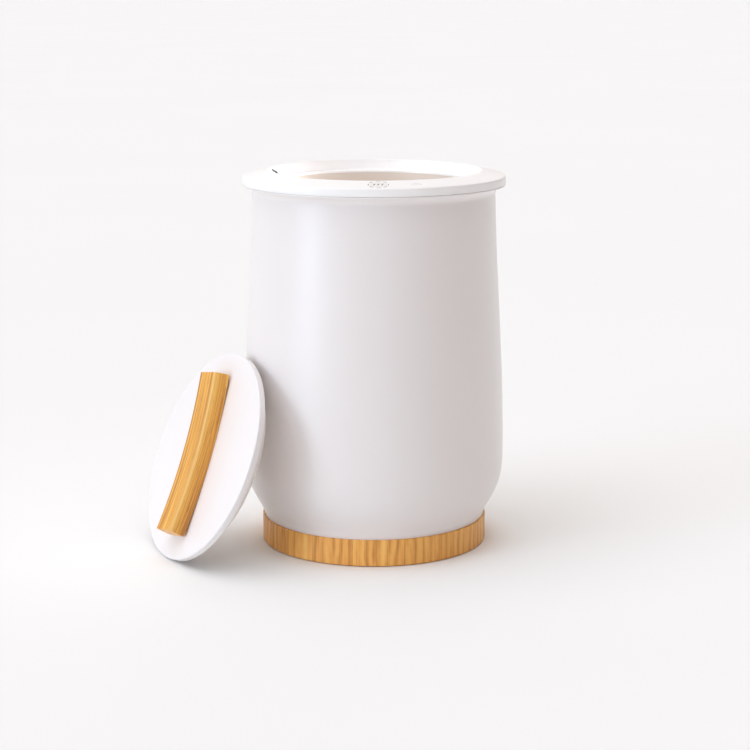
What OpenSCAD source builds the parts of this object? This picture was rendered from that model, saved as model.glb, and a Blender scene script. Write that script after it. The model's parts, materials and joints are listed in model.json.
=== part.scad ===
// Heated bucket with a round plastic shell, a bamboo foot ring, an aluminium
// drum inside and a loose lid that leans against the shell.
// The origin lies on the bucket's axis, on the plane that it stands on.
// +Z is up and -Y is the front. A bearing turns from +X towards +Y.

/* [Overall] */
// Height of the crest of the top ring above the floor
overall_h = 518; // [500:1:540]
// Diameter over the flange at the top
rim_d = 360; // [354:1:372]

/* [Shell] */
// Diameter at the widest part of the belly
belly_d = 361; // [350:1:372]
// Height of the widest part
belly_z = 128; // [115:1:140]
// Diameter that the wall draws in to at the end of its taper
neck_d = 331; // [328:1:338]
// Height over which the wall draws in, counted from the belly
taper_run = 421; // [400:1:440]
// Diameter of the shell where it meets the foot ring
foot_d = 308; // [302:1:312]
// How long the belly stays full below its widest part
foot_swell = 2.9; // [2.5:0.1:3.2]
// How softly the wall runs into the foot ring
foot_flare = 1.75; // [1.5:0.05:2]
// Wall of the shell
shell_wall = 2.8; // [2.4:0.1:3.4]
// Radius of the hollow under the flange
neck_fillet = 12; // [8:0.5:14]
// Height of the upright edge of the shell's flange
flange_lip = 1.7; // [1.2:0.1:2.5]
// Width of the shell's inward flange on the foot ring
foot_flange = 22; // [18:1:26]

/* [Foot ring and base] */
// Height of the foot ring's top above the floor
base_h = 37; // [32:1:42]
// How far the foot ring stands out from the shell
base_step = 2.6; // [1:0.1:4]
// Wall of the foot ring
base_ring_wall = 10.6; // [9:0.1:12]
// Height of the foot ring's lower edge above the floor
base_lift = 1; // [0.6:0.1:1.6]
// Thickness of the non-slip mat
mat_t = 2; // [1.8:0.1:3]
// Thickness of the base plate
plate_t = 4; // [3.6:0.1:5]
// Width of the base plate's edge under the foot ring
plate_lap = 4; // [3:0.1:5]
// Number of screws in the base plate
base_screw_n = 6; // [4:1:8]

/* [Top ring] */
// Bore of the seat that takes the lid
seat_d = 294; // [288:1:298]
// Depth of the seat below the crest
seat_depth = 14.3; // [13:0.1:16]
// Diameter of the mouth inside the ledge
mouth_d = 258; // [252:1:262]
// Slope of the sloping band, in degrees
band_slope = 12.8; // [10:0.1:15]
// Distance from the crest down to the joint line with the shell
ring_drop = 18; // [17:0.1:20]
// Rounding of the ring's outer edge
rim_round = 2.6; // [1.5:0.1:3]
// Rounding of the crest
crest_round = 1.2; // [0.8:0.1:1.6]
// Wall of the top ring
ring_wall = 2.6; // [2.2:0.1:3]
// Bearing of the vent slot in the seat's wall
vent_bearing = 160; // [159:1:169]
// Width of the vent slot
vent_w = 2.8; // [2:0.1:4]
// Length of the vent slot
vent_l = 22; // [14:1:26]
// Slant of the vent slot, which rises to the left
vent_slant = 18; // [0:1:20]

/* [Drum] */
// Depth of the drum below the ledge
drum_depth = 390; // [375:1:395]
// Wall of the drum
drum_wall = 1.2; // [1:0.1:1.6]
// How far the drum's wall stands back from the mouth
drum_set_back = 0.3; // [0.2:0.1:0.6]
// Width of the drum's top flange
drum_flange = 11; // [9:0.5:12]
// Inner corner radius at the drum's floor
drum_corner = 12; // [8:0.5:16]

/* [Heating and insulation] */
// Height of the heater band
band_heater_h = 200; // [160:5:260]
// Height of the heater band's lower edge above the drum's floor
band_heater_z = 20; // [18:1:40]
// Thickness of the heaters
heater_t = 1.5; // [1.2:0.1:1.8]
// Diameter of the floor heater
floor_heater_d = 200; // [170:1:220]
// Thickness of the insulation round the drum
sleeve_t = 8.5; // [6:0.5:9]
// Thickness of the insulation under the drum
floor_wool_t = 14; // [12:0.5:18]
// Thickness of the cradle's tray
tray_t = 3; // [2.4:0.1:4]
// Distance of the cradle's legs from the axis
leg_pitch_r = 106; // [104:1:112]

/* [Lid] */
// Gap all round between the lid and its seat
lid_gap = 1; // [0.6:0.1:1.5]
// Thickness of the lid's rim
lid_rim_t = 9.5; // [8.5:0.1:11]
// Rounding of the lid's rim
lid_round = 1.6; // [1:0.1:2]
// Depth of the shallow dish in the lid's face
lid_dish = 4; // [2:0.1:4.4]
// Wall of the lid
lid_wall = 2.4; // [2:0.1:2.6]
// Depth of the whole lid below its face
lid_depth = 25; // [23:0.5:28]
// Gap between the lid's plug and the mouth
plug_gap = 4; // [3:0.1:5]
// Rounding of the plug's lower edge
plug_round = 4; // [3:0.1:5]
// Height of the lid's seal
seal_h = 2.5; // [2:0.1:3]
// Width of the lid's seal
seal_w = 7; // [5:0.1:8]

/* [Lid handle] */
// Length of the handle
handle_l = 228; // [200:1:236]
// Width of the handle
handle_w = 45; // [36:0.5:48]
// Thickness of the handle
handle_t = 23; // [18:0.5:24]
// How far the handle's ends rise above its middle
handle_sag = 7; // [5:0.5:9]
// Rounding of the handle's upper edges
handle_round = 3.5; // [2:0.1:4]
// Turn of the handle away from upright on the leaning lid
handle_turn = 11; // [0:1:20]
// Distance between the two handle screws
handle_screw_pitch = 100; // [80:1:120]

/* [Lean of the lid] */
// Bearing that the lid's face looks towards
lean_bearing = 207.3; // [195:0.1:220]
// Tilt of the lid back from upright
lean_tilt = 23.3; // [20:0.1:27]
// Sideways offset of the lid's centre
lean_side = -29; // [-32:1:0]
// Gap between the leaning lid and the shell
lean_gap = 0.35; // [0.3:0.05:0.6]

/* [Power key] */
// Turn of the key to the right of the front
key_turn = 2; // [0:0.5:4]
// Diameter of the key
key_d = 22; // [19:0.1:22.4]
// Gap round the key
key_gap = 0.35; // [0.3:0.05:0.5]
// Travel of the key
key_travel = 0.8; // [0.5:0.1:1]
// Mean diameter of the dashed ring round the key
dash_d = 26; // [25.6:0.1:26.4]
// Width of one dash
dash_w = 0.9; // [0.6:0.05:1]
// Number of dashes
dash_n = 8; // [6:1:12]
// Depth of the dashes in the band
dash_t = 0.6; // [0.4:0.1:0.8]
// Turn of the status lens to the right of the front
lens_turn = 19.5; // [18:0.5:21]
// Width of the status lens
lens_w = 17; // [12:0.5:18]

/* [Mains inlet] */
// Bore of the gland bush
gland_bore_d = 7.6; // [6:0.1:8]
// Outer diameter of the gland bush
gland_d = 14.8; // [13:0.1:16]
// Diameter of the gland's flange
gland_flange_d = 21; // [19:0.1:24]
// Height of the gland above the floor
gland_z = 21; // [20:0.5:23]

/* [Hidden] */
$fn = 96;
round_fn = 240;

// Colours
white_plastic = [0.95, 0.94, 0.94];
grey_plastic = [0.55, 0.55, 0.56];
dark_plastic = [0.16, 0.16, 0.17];
bamboo = [0.78, 0.50, 0.20];
metal = [0.78, 0.77, 0.75];
steel = [0.62, 0.63, 0.65];
wool = [0.88, 0.84, 0.72];
board_green = [0.10, 0.38, 0.22];
copper = [0.72, 0.40, 0.22];
lens_blue = [0.72, 0.80, 0.90];

// Small fits that many places share
seam = 0.3;
skin = 0.1;
cut = 1;

// Screws: shank, head and the holes that take them
screw_r = 1.45;
screw_head_r = 3.4;
screw_head_h = 2;
pilot_r = 1.5;
clear_r = 2;
boss_r = 4.2;
boss_wall = 1.6;
base_screw_l = 18;
ring_screw_l = 15;
clamp_screw_l = 11;
cradle_screw_l = 18;
board_screw_l = 8;
control_screw_l = 5;
status_screw_l = 3.6;
lid_screw_l = 10;
pilot_spare = 3;

// Shell
belly_r = belly_d / 2;
neck_r = neck_d / 2;
foot_r = foot_d / 2;
rim_r = rim_d / 2;
joint_z = overall_h - ring_drop;
shell_top = joint_z - seam;
fillet_r = min(neck_fillet, rim_r - neck_r - 1.6);
fillet_z = shell_top - flange_lip - fillet_r;
foot_flange_t = 3;

// Outer radius of the shell at a height: a half cosine above the belly, and
// below it a power curve that ends upright on the foot ring
function shell_r(z) =
    z >= belly_z
        ? neck_r + (belly_r - neck_r) * (1 + cos(180 * (z - belly_z) / taper_run)) / 2
        : foot_r + (belly_r - foot_r)
            * pow(1 - pow((belly_z - max(z, base_h)) / (belly_z - base_h), foot_swell), foot_flare);

function arc(cx, cy, r, from, to, n = 8) =
    [for (i = [0:n]) [cx + r * cos(from + (to - from) * i / n), cy + r * sin(from + (to - from) * i / n)]];
function steps(a, b, n) = [for (i = [0:n]) a + (b - a) * i / n];

// Foot ring and base plate
base_r = foot_r + base_step;
base_in_r = base_r - base_ring_wall;
plate_z = mat_t;
plate_top = plate_z + plate_t;
plate_r = base_in_r + plate_lap;
spigot_h = 7;
spigot_t = 3;
spigot_r = base_in_r - 0.4;
mat_r = plate_r - 2;
post_r = 4.8;
post_pitch_r = spigot_r - spigot_t - post_r - 0.8;
post_bearings = [for (i = [0:base_screw_n - 1]) 360 * i / base_screw_n];
shell_floor_z = base_h + foot_flange_t;
counterbore_h = 2.2;

// Top ring. The band is a cone that is tangent to the crest and the rim.
seat_r = seat_d / 2;
mouth_r = mouth_d / 2;
crest_z = overall_h - crest_round;
band_r0 = seat_r + crest_round * (1 + sin(band_slope));
band_z0 = crest_z + crest_round * cos(band_slope);
function band_z(r) = band_z0 - (r - band_r0) * tan(band_slope);
band_drop = ring_wall / cos(band_slope);
rim_cr = rim_r - rim_round;
rim_cz = band_z(rim_cr) - rim_round / cos(band_slope);
ledge_z = overall_h - seat_depth;
ledge_t = 2.7;
ledge_under = ledge_z - ledge_t;
mouth_round = 0.6;
seat_back_r = seat_r + ring_wall;
vent_in = 3;
ring_in_r = rim_r - ring_wall;

// Screw bosses of the top ring. The front is kept free for the key.
ring_pitch_r = seat_back_r + boss_r + 2.2;
ring_bearings = [0, 60, 120, 180, 240, 305];
clamp_bearings = [30, 90, 145, 210, 335];
boss_top = band_z(ring_pitch_r) - band_drop + 1.2;
lug_t = 4;
lug_z = fillet_z;
lug_top = lug_z + lug_t;

// Drum
drum_r = mouth_r + drum_set_back;
drum_out_r = drum_r + drum_wall;
drum_floor = ledge_z - drum_depth;
drum_under = drum_floor - drum_wall;
flange_z = ledge_under - drum_wall;
clamp_t = 3.5;
clamp_z = flange_z - clamp_t;
clamp_w = 16.5;
clamp_out_r = drum_out_r + clamp_w;

// Heaters, insulation and the cradle that carries them
heater_in_r = drum_out_r + skin;
heater_out_r = heater_in_r + heater_t;
heater_z = drum_floor + band_heater_z;
heater_gap_deg = 12;
sleeve_in_r = heater_out_r + seam;
sleeve_out_r = sleeve_in_r + sleeve_t;
floor_heater_top = drum_under - skin;
floor_heater_z = floor_heater_top - heater_t;
wool_top = floor_heater_z - skin;
wool_z = wool_top - floor_wool_t;
wool_r = drum_out_r - 4;
tray_z = wool_z - tray_t;
tray_r = sleeve_out_r - 2;
tray_rim_t = 3;
sleeve_z = drum_floor + 5;
tray_rim_top = sleeve_z;
sleeve_top = clamp_z - 2;
leg_r = 6;
leg_bearings = [45, 135, 225, 315];
lead_slot_w = 16;
lead_notch = 12;
window_x = 64;
window_y = 30;

// Sensors in the window of the insulation
thermostat_r = 8.4;
thermostat_h = 9;
strap_t = 1;
strap_w = 8;
strap_reach = 14;
fuse_r = 2.1;
fuse_l = 14;
fuse_x = 24;
sensor_r = 2.6;
sensor_h = 7;
sensor_x = -24;

// Boards
board_t = 1.6;
standoff_r = 3.5;
standoff_h = 8;
power_x = 100;
power_y = 64;
power_cy = 48;
power_inset = 5;
power_z = plate_top + standoff_h;
power_top = power_z + board_t;
relay_size = [22, 16, 16];
relay_at = [-30, 44];
transformer_size = [26, 24, 20];
winding_size = [18, 30, 12];
transformer_at = [26, 42];
terminal_size = [36, 15, 14];
terminal_at = [0, 70];
terminal_pitch = 12;
terminal_bore_r = 2.4;
capacitor_r = 6;
capacitor_h = 16;
capacitor_at = [0, 30];

// Wires
lead_r = 1.3;
lead_x = 5;
lead_lap = 20;
lead_y = sleeve_in_r + sleeve_t / 2;
lead_low = (tray_z + power_top + transformer_size[2]) / 2;
lead_top = heater_z + lead_lap;
cable_r = 2;
cable_x = -13;
cable_in_y = 24;

// Power key, in a frame whose plane touches the band
key_r = key_d / 2;
key_band_r = (band_r0 + rim_cr + rim_round * sin(band_slope)) / 2;
key_sink = 0.1;
key_rib_t = 1.3;
key_rib_r = key_r + key_gap + 0.9;
key_rib_top = -ring_wall - seam;
key_rib_low = key_rib_top - key_rib_t;
stem_r = 3;
switch_size = 6.2;
switch_h = 3.6;
plunger_r = 1.75;
plunger_up = 1.2;
plunger_in = 1.6;
plunger_gap = 0.1;
stem_low = key_rib_low - 1.7;
switch_top = stem_low - plunger_up;
control_z = switch_top - switch_h;
control_x = 50;
control_y = 17;
control_screw_x = 20;
control_boss_r = 2.6;
small_screw_r = 1;
small_pilot_r = 1.05;
small_head_r = 2;
small_head_h = 1.4;
small_clear_r = 1.2;
small_spare = 1;
dash_turn = 240 / dash_n;
cable_pitch = max(key_band_r - control_y / 2, sleeve_out_r + seam) + cable_r;
cable_top = band_z(cable_pitch + cable_r) + (control_z - board_t) / cos(band_slope) - seam;

// Status lens
lens_round = 1.6;
lens_l = 9;
lens_t = ring_wall;
lens_fit = 0.12;
led_board_x = 13;
led_board_y = 12;
led_board_t = 1.2;
led_drop = 7;
led_size = 3;
led_h = 2;
led_boss_y = 4;

// Mains inlet
gland_r = gland_d / 2;
gland_bore_r = gland_bore_d / 2;
gland_flange_r = gland_flange_d / 2;
gland_flange_t = 2.4;
gland_fit = 0.2;
gland_out = base_r + gland_flange_t;
gland_in = base_in_r - 8;
nut_af = 20;
nut_t = 5;
nut_fit = 0.15;
nut_out = sqrt(pow(base_in_r, 2) - pow(nut_af / sqrt(3), 2)) - seam;

// Lid, in its own frame: its face's rim lies in z = 0 and it hangs below
lid_r = seat_r - lid_gap;
dish_r = lid_r - 12;
lid_back = -lid_rim_t;
pan_t = 2.2;
pan_r = lid_r - lid_wall - 0.5;
plug_r = mouth_r - plug_gap;
plug_low = -lid_depth;
cup_floor = plug_low + pan_t;
seal_in_r = plug_r + 5;
lid_screw_n = 6;
lid_screw_pitch = 96;
lid_boss_r = 4;
lid_head_h = 1;
lid_sink = 1.1;
lid_bearings = [for (i = [0:lid_screw_n - 1]) 360 * i / lid_screw_n];
lid_wool_r = plug_r - max(plug_round, pan_t) - seam;
function lid_face_z(r) = r >= dish_r ? 0 : -lid_dish * pow(1 - pow(r / dish_r, 2), 2);
lid_boss_top = lid_face_z(lid_screw_pitch) - lid_wall / 2;
lid_wool_top = lid_back;
handle_under = -lid_dish + seam;

// Handle: a bar bent to an arc, whose ends rise from the lid
bend_r = (pow(handle_l / 2, 2) + pow(handle_sag, 2)) / (2 * handle_sag);
bend_half = asin(handle_l / 2 / bend_r);
handle_edge = 1.5;
handle_screw_x = handle_screw_pitch / 2;
handle_screw_in = 12;
handle_screw_r = 1.9;
handle_pilot_r = 1.95;
handle_head_r = 4;
handle_head_h = 2.4;

// Place of the leaning lid. Its rear edge stands on the floor, and it is as
// near to the axis as the gap to the shell allows. Each row of lean_edges is
// a round edge of the lid: its circle, its depth and its rounding.
lean_edges = [[lid_r - lid_round, lid_rim_t - lid_round, lid_round],
    [plug_r - plug_round, lid_depth - plug_round, plug_round]];
lean_z = (lid_r - lid_round) * cos(lean_tilt) + (lid_rim_t - lid_round) * sin(lean_tilt) + lid_round;
function lean_point(out, edge, a) =
    let (up = edge[0] * sin(a), along = edge[0] * cos(a) + lean_side)
    let (outward = out - edge[1] * cos(lean_tilt) - up * sin(lean_tilt))
    [norm([outward, along]), lean_z - edge[1] * sin(lean_tilt) + up * cos(lean_tilt)];
function edge_gap(out, edge) =
    min([for (a = [0:3:180]) let (p = lean_point(out, edge, a)) p[0] - shell_r(p[1]) - edge[2]]);
function all_gap(out) = min([for (edge = lean_edges) edge_gap(out, edge)]);
function lean_out(low, high, n = 24) =
    n == 0 ? high
    : let (mid = (low + high) / 2)
        all_gap(mid) < lean_gap ? lean_out(mid, high, n - 1) : lean_out(low, mid, n - 1);
lean_r = lean_out(belly_r, belly_r + 2 * lid_r);
echo(lid_centre = [lean_r * cos(lean_bearing) - lean_side * sin(lean_bearing),
    lean_r * sin(lean_bearing) + lean_side * cos(lean_bearing), lean_z]);
echo(key_point = [key_band_r, band_z(key_band_r)], ledge = ledge_z, drum = [drum_r, drum_floor]);

// Shared shapes

module around(bearings, pitch) {
    for (b = bearings)
        rotate([0, 0, b])
            translate([pitch, 0, 0])
                children();
}

module spun(points) {
    rotate_extrude($fn = round_fn)
        polygon(points);
}

module tube(outer, inner, low, high, fn = round_fn) {
    translate([0, 0, low])
        difference() {
            cylinder(h = high - low, r = outer, $fn = fn);
            translate([0, 0, -cut])
                cylinder(h = high - low + 2 * cut, r = inner, $fn = fn);
        }
}

module rod(from, to, r) {
    d = to - from;
    translate(from)
        rotate([0, acos(d[2] / norm(d)), atan2(d[1], d[0])])
            cylinder(h = norm(d), r = r, $fn = 32);
}

// A round wire through a list of points, with a ball in each bend
module wire(points, r) {
    for (i = [0:len(points) - 2])
        rod(points[i], points[i + 1], r);
    for (i = [1:len(points) - 2])
        translate(points[i])
            sphere(r = r, $fn = 32);
}

// A pan-head screw with a cross recess: the head's top lies in z = 0 and the
// shank points up from its underside
module pan_screw(length, shank = screw_r, head = screw_head_r, head_h = screw_head_h) {
    slot_w = head * 0.26;
    difference() {
        union() {
            cylinder(h = head_h, r = head, $fn = 48);
            cylinder(h = head_h + length, r = shank, $fn = 32);
        }
        for (a = [0, 90])
            rotate([0, 0, a])
                translate([-head * 0.6, -slot_w / 2, -cut])
                    cube([head * 1.2, slot_w, cut + head_h * 0.5]);
    }
}

module box_on(size, at, low) {
    translate([at[0] - size[0] / 2, at[1] - size[1] / 2, low])
        cube(size);
}

// Outer shell

function shell_heights() =
    concat(steps(base_h, belly_z, 28), [for (z = steps(belly_z, fillet_z, 24)) if (z > belly_z) z]);

module shell_wall_form() {
    heights = shell_heights();
    top_r = shell_r(fillet_z);
    fillet_cr = top_r + fillet_r;
    inner_arc_r = fillet_r + shell_wall;
    top_angle = asin((shell_top - fillet_z) / inner_arc_r);
    outer = [for (z = heights) [shell_r(z), z]];
    outer_fillet = arc(fillet_cr, fillet_z, fillet_r, 180, 90, 10);
    inner_fillet = arc(fillet_cr, fillet_z, inner_arc_r, 180 - top_angle, 180, 8);
    inner = [for (i = [len(heights) - 2:-1:0]) if (heights[i] > shell_floor_z)
        [shell_r(heights[i]) - shell_wall, heights[i]]];
    spun(concat(
        [[foot_r - foot_flange, base_h]],
        outer,
        [for (i = [1:len(outer_fillet) - 1]) outer_fillet[i]],
        [[rim_r, shell_top - flange_lip], [rim_r, shell_top]],
        inner_fillet,
        inner,
        [[shell_r(shell_floor_z) - shell_wall, shell_floor_z], [foot_r - foot_flange, shell_floor_z]]));
}

module shell_lug() {
    reach = shell_r(lug_z) - shell_wall / 2 - ring_pitch_r;
    translate([0, 0, lug_z]) {
        cylinder(h = lug_t, r = boss_r + boss_wall);
        translate([0, -boss_r - boss_wall, 0])
            cube([reach, 2 * (boss_r + boss_wall), lug_t]);
    }
}

module outer_shell() {
    color(white_plastic)
        difference() {
            union() {
                shell_wall_form();
                around(ring_bearings, ring_pitch_r)
                    shell_lug();
                around(post_bearings, post_pitch_r)
                    translate([0, 0, plate_top])
                        cylinder(h = base_h - plate_top + 1, r = post_r);
            }
            around(ring_bearings, ring_pitch_r)
                translate([0, 0, lug_z - cut])
                    cylinder(h = lug_t + 2 * cut, r = clear_r);
            around(post_bearings, post_pitch_r)
                translate([0, 0, plate_top - cut])
                    cylinder(h = base_h - plate_top, r = pilot_r);
        }
}

// Foot ring, base plate and mat

module bamboo_base_ring() {
    top_edge = 0.8;
    low_edge = 1;
    color(bamboo)
        difference() {
            spun([[plate_r + 0.3, base_lift], [base_r - low_edge, base_lift], [base_r, base_lift + low_edge],
                [base_r, base_h - top_edge], [base_r - top_edge, base_h], [base_in_r, base_h],
                [base_in_r, plate_top], [plate_r + 0.3, plate_top]]);
            translate([0, base_r + cut, gland_z])
                rotate([90, 0, 0])
                    cylinder(h = base_ring_wall + 2 * cut + 2, r = gland_r + gland_fit);
        }
}

module at_board_corners(z) {
    for (x = [-1, 1], y = [-1, 1])
        translate([x * (power_x / 2 - power_inset), power_cy + y * (power_y / 2 - power_inset), z])
            children();
}

module base_plate() {
    color(grey_plastic)
        difference() {
            union() {
                translate([0, 0, plate_z])
                    cylinder(h = plate_t, r = plate_r, $fn = round_fn);
                tube(spigot_r, spigot_r - spigot_t, plate_top - 0.5, plate_top + spigot_h);
                at_board_corners(plate_top - 0.5)
                    cylinder(h = standoff_h + 0.5, r = standoff_r);
            }
            around(post_bearings, post_pitch_r)
                screw_well();
            around(leg_bearings, leg_pitch_r)
                screw_well();
            at_board_corners(plate_top)
                cylinder(h = standoff_h + cut, r = pilot_r);
            translate([0, spigot_r + cut, gland_z])
                rotate([90, 0, 0])
                    cylinder(h = spigot_t + 3 * cut, r = nut_af / sqrt(3) + 1);
        }
}

// Counterbore and through hole for a screw from below
module screw_well() {
    translate([0, 0, plate_z - cut])
        cylinder(h = counterbore_h + cut, r = screw_head_r + 0.4);
    translate([0, 0, plate_z])
        cylinder(h = plate_t + cut, r = clear_r);
}

module anti_slip_mat() {
    color(dark_plastic)
        cylinder(h = mat_t, r = mat_r, $fn = round_fn);
}

module base_screws() {
    color(steel)
        around(post_bearings, post_pitch_r)
            translate([0, 0, plate_z + counterbore_h - screw_head_h])
                pan_screw(base_screw_l);
}

// Top ring

module top_ring_form() {
    under = [[ring_in_r, joint_z], [ring_in_r, band_z(ring_in_r) - band_drop],
        [seat_back_r, band_z(seat_back_r) - band_drop], [seat_back_r, ledge_under], [mouth_r, ledge_under]];
    spun(concat(
        [[rim_r, joint_z]],
        arc(rim_cr, rim_cz, rim_round, 0, 90 - band_slope),
        arc(seat_r + crest_round, crest_z, crest_round, 90 - band_slope, 180),
        [[seat_r, ledge_z]],
        arc(mouth_r + mouth_round, ledge_z - mouth_round, mouth_round, 90, 180, 4),
        [for (i = [len(under) - 1:-1:0]) under[i]]));
}

// Frame in which a piece of the band lies flat, with x to the right and y inwards
module on_band(turn) {
    rotate([0, 0, turn])
        translate([0, -key_band_r, band_z(key_band_r)])
            rotate([band_slope, 0, 0])
                children();
}

module top_ring() {
    color(white_plastic)
        difference() {
            union() {
                top_ring_form();
                around(ring_bearings, ring_pitch_r)
                    translate([0, 0, lug_top])
                        cylinder(h = boss_top - lug_top, r = boss_r);
                around(clamp_bearings, ring_pitch_r)
                    translate([0, 0, flange_z])
                        cylinder(h = boss_top - flange_z, r = boss_r);
                on_band(key_turn)
                    for (x = [-1, 1])
                        translate([x * control_screw_x, 0, control_z])
                            cylinder(h = -control_z - ring_wall + 0.4, r = control_boss_r);
                on_band(lens_turn)
                    translate([0, led_boss_y, -led_drop])
                        cylinder(h = led_drop - ring_wall + 0.4, r = control_boss_r);
            }
            around(ring_bearings, ring_pitch_r)
                translate([0, 0, lug_top - cut])
                    cylinder(h = ring_screw_l - lug_t + pilot_spare + cut, r = pilot_r);
            around(clamp_bearings, ring_pitch_r)
                translate([0, 0, flange_z - cut])
                    cylinder(h = clamp_screw_l - clamp_t + pilot_spare / 2 + cut, r = pilot_r);
            on_band(key_turn) {
                translate([0, 0, -ring_wall - 3])
                    cylinder(h = ring_wall + 5, r = key_r + key_gap);
                dashes(skin / 2, 0.5);
                for (x = [-1, 1])
                    translate([x * control_screw_x, 0, control_z - cut])
                        cylinder(h = control_screw_l - board_t + small_spare + cut, r = small_pilot_r);
            }
            on_band(lens_turn) {
                translate([0, 0, -ring_wall - 2])
                    linear_extrude(ring_wall + 4)
                        lens_outline(lens_fit);
                translate([0, led_boss_y, -led_drop - cut])
                    cylinder(h = status_screw_l - led_board_t + small_spare + cut, r = small_pilot_r);
            }
            rotate([0, 0, vent_bearing])
                translate([seat_r, 0, ledge_z + (seat_depth - crest_round) / 2])
                    rotate([vent_slant, 0, 0])
                        translate([-vent_in, -vent_l / 2, -vent_w / 2])
                            cube([vent_in + ring_wall + cut, vent_l, vent_w]);
        }
}

module ring_screws() {
    color(steel)
        around(ring_bearings, ring_pitch_r)
            translate([0, 0, lug_z - screw_head_h])
                pan_screw(ring_screw_l);
}

// The dashed ring: arcs of equal length round the key
module dashes(fit, above) {
    for (i = [0:dash_n - 1])
        rotate([0, 0, i * 360 / dash_n - dash_turn / 2])
            translate([0, 0, -dash_t - fit])
                rotate_extrude(angle = dash_turn, $fn = 180)
                    translate([dash_d / 2 - dash_w / 2 - fit, 0])
                        square([dash_w + 2 * fit, dash_t + fit + above]);
}

module icon_ring() {
    color(dark_plastic)
        on_band(key_turn)
            dashes(0, -skin);
}

// Rounded triangle of the status lens, with its point towards the crest
module lens_outline(grow) {
    half = lens_w / 2 - lens_round;
    low = -lens_l / 2 + lens_round;
    high = lens_l / 2 - lens_round;
    r = lens_round + grow;
    corners = [[-half, low], [half, low], [0, high]];
    side = atan2(high - low, half);
    polygon(concat(
        arc(corners[1][0], corners[1][1], r, -90, 90 - side, 6),
        arc(corners[2][0], corners[2][1], r, 90 - side, 90 + side, 6),
        arc(corners[0][0], corners[0][1], r, 90 + side, 270, 6)));
}

module status_lens() {
    color(lens_blue)
        on_band(lens_turn)
            translate([0, 0, -lens_t])
                linear_extrude(lens_t - 0.05)
                    lens_outline(0);
}

module status_led_board() {
    color(board_green)
        on_band(lens_turn)
            difference() {
                union() {
                    translate([-led_board_x / 2, -led_board_y / 2, -led_drop - led_board_t])
                        cube([led_board_x, led_board_y, led_board_t]);
                    translate([-led_size / 2, -led_size - 0.6, -led_drop - 0.2])
                        cube([led_size, led_size, led_h + 0.2]);
                }
                translate([0, led_boss_y, -led_drop - led_board_t - cut])
                    cylinder(h = led_board_t + 2 * cut, r = small_clear_r);
            }
}

module status_board_screw() {
    color(steel)
        on_band(lens_turn)
            translate([0, led_boss_y, -led_drop - led_board_t - small_head_h])
                pan_screw(status_screw_l, small_screw_r, small_head_r, small_head_h);
}

// Drum and its clamp

module inner_drum() {
    flange_r = drum_out_r + drum_flange;
    color(metal)
        spun(concat(
            [[0, drum_under]],
            arc(drum_r - drum_corner, drum_floor + drum_corner, drum_corner + drum_wall, 270, 360),
            [[drum_out_r, flange_z], [flange_r, flange_z], [flange_r, ledge_under], [drum_r, ledge_under]],
            arc(drum_r - drum_corner, drum_floor + drum_corner, drum_corner, 360, 270),
            [[0, drum_floor]]));
}

module drum_clamp_ring() {
    ear = boss_r + boss_wall;
    color(grey_plastic)
        difference() {
            union() {
                tube(clamp_out_r, drum_out_r + 0.4, clamp_z, flange_z);
                around(clamp_bearings, ring_pitch_r)
                    translate([0, 0, clamp_z])
                        cylinder(h = clamp_t, r = ear);
                around(clamp_bearings, clamp_out_r - 3)
                    translate([0, -ear, clamp_z])
                        cube([ring_pitch_r - clamp_out_r + 3, 2 * ear, clamp_t]);
            }
            around(clamp_bearings, ring_pitch_r)
                translate([0, 0, clamp_z - cut])
                    cylinder(h = clamp_t + 2 * cut, r = clear_r);
        }
}

module clamp_screws() {
    color(steel)
        around(clamp_bearings, ring_pitch_r)
            translate([0, 0, clamp_z - screw_head_h])
                pan_screw(clamp_screw_l);
}

// Heating

module drum_heater_band() {
    color(copper)
        translate([0, 0, heater_z])
            rotate([0, 0, 90 + heater_gap_deg / 2])
                rotate_extrude(angle = 360 - heater_gap_deg, $fn = round_fn)
                    translate([heater_in_r, 0])
                        square([heater_t, band_heater_h]);
}

module floor_heater() {
    color(copper)
        translate([0, 0, floor_heater_z])
            cylinder(h = heater_t, r = floor_heater_d / 2, $fn = round_fn);
}

module insulation_sleeve() {
    color(wool)
        difference() {
            tube(sleeve_out_r, sleeve_in_r, sleeve_z, sleeve_top);
            translate([-lead_slot_w / 2, sleeve_in_r - 10, sleeve_z - cut])
                cube([lead_slot_w, sleeve_t + 20, sleeve_top - sleeve_z + 2 * cut]);
        }
}

module insulation_disc() {
    color(wool)
        difference() {
            translate([0, 0, wool_z])
                cylinder(h = floor_wool_t, r = wool_r, $fn = round_fn);
            translate([-window_x / 2, -window_y / 2, wool_z - cut])
                cube([window_x, window_y, floor_wool_t + 2 * cut]);
        }
}

module drum_cradle() {
    color(grey_plastic)
        difference() {
            union() {
                translate([0, 0, tray_z])
                    cylinder(h = tray_t, r = tray_r, $fn = round_fn);
                tube(tray_r, tray_r - tray_rim_t, tray_z, tray_rim_top);
                around(leg_bearings, leg_pitch_r)
                    translate([0, 0, plate_top])
                        cylinder(h = tray_z - plate_top + 1, r = leg_r);
            }
            around(leg_bearings, leg_pitch_r)
                translate([0, 0, plate_top - cut])
                    cylinder(h = cradle_screw_l + 2 * pilot_spare + cut, r = pilot_r);
            translate([-lead_slot_w / 2, tray_r - lead_notch, tray_z - cut])
                cube([lead_slot_w, lead_notch + cut, tray_rim_top - tray_z + 2 * cut]);
        }
}

module cradle_screws() {
    color(steel)
        around(leg_bearings, leg_pitch_r)
            translate([0, 0, plate_z + counterbore_h - screw_head_h])
                pan_screw(cradle_screw_l);
}

module thermostat() {
    color(dark_plastic)
        translate([0, 0, floor_heater_z - skin - thermostat_h])
            cylinder(h = thermostat_h, r = thermostat_r);
}

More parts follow.
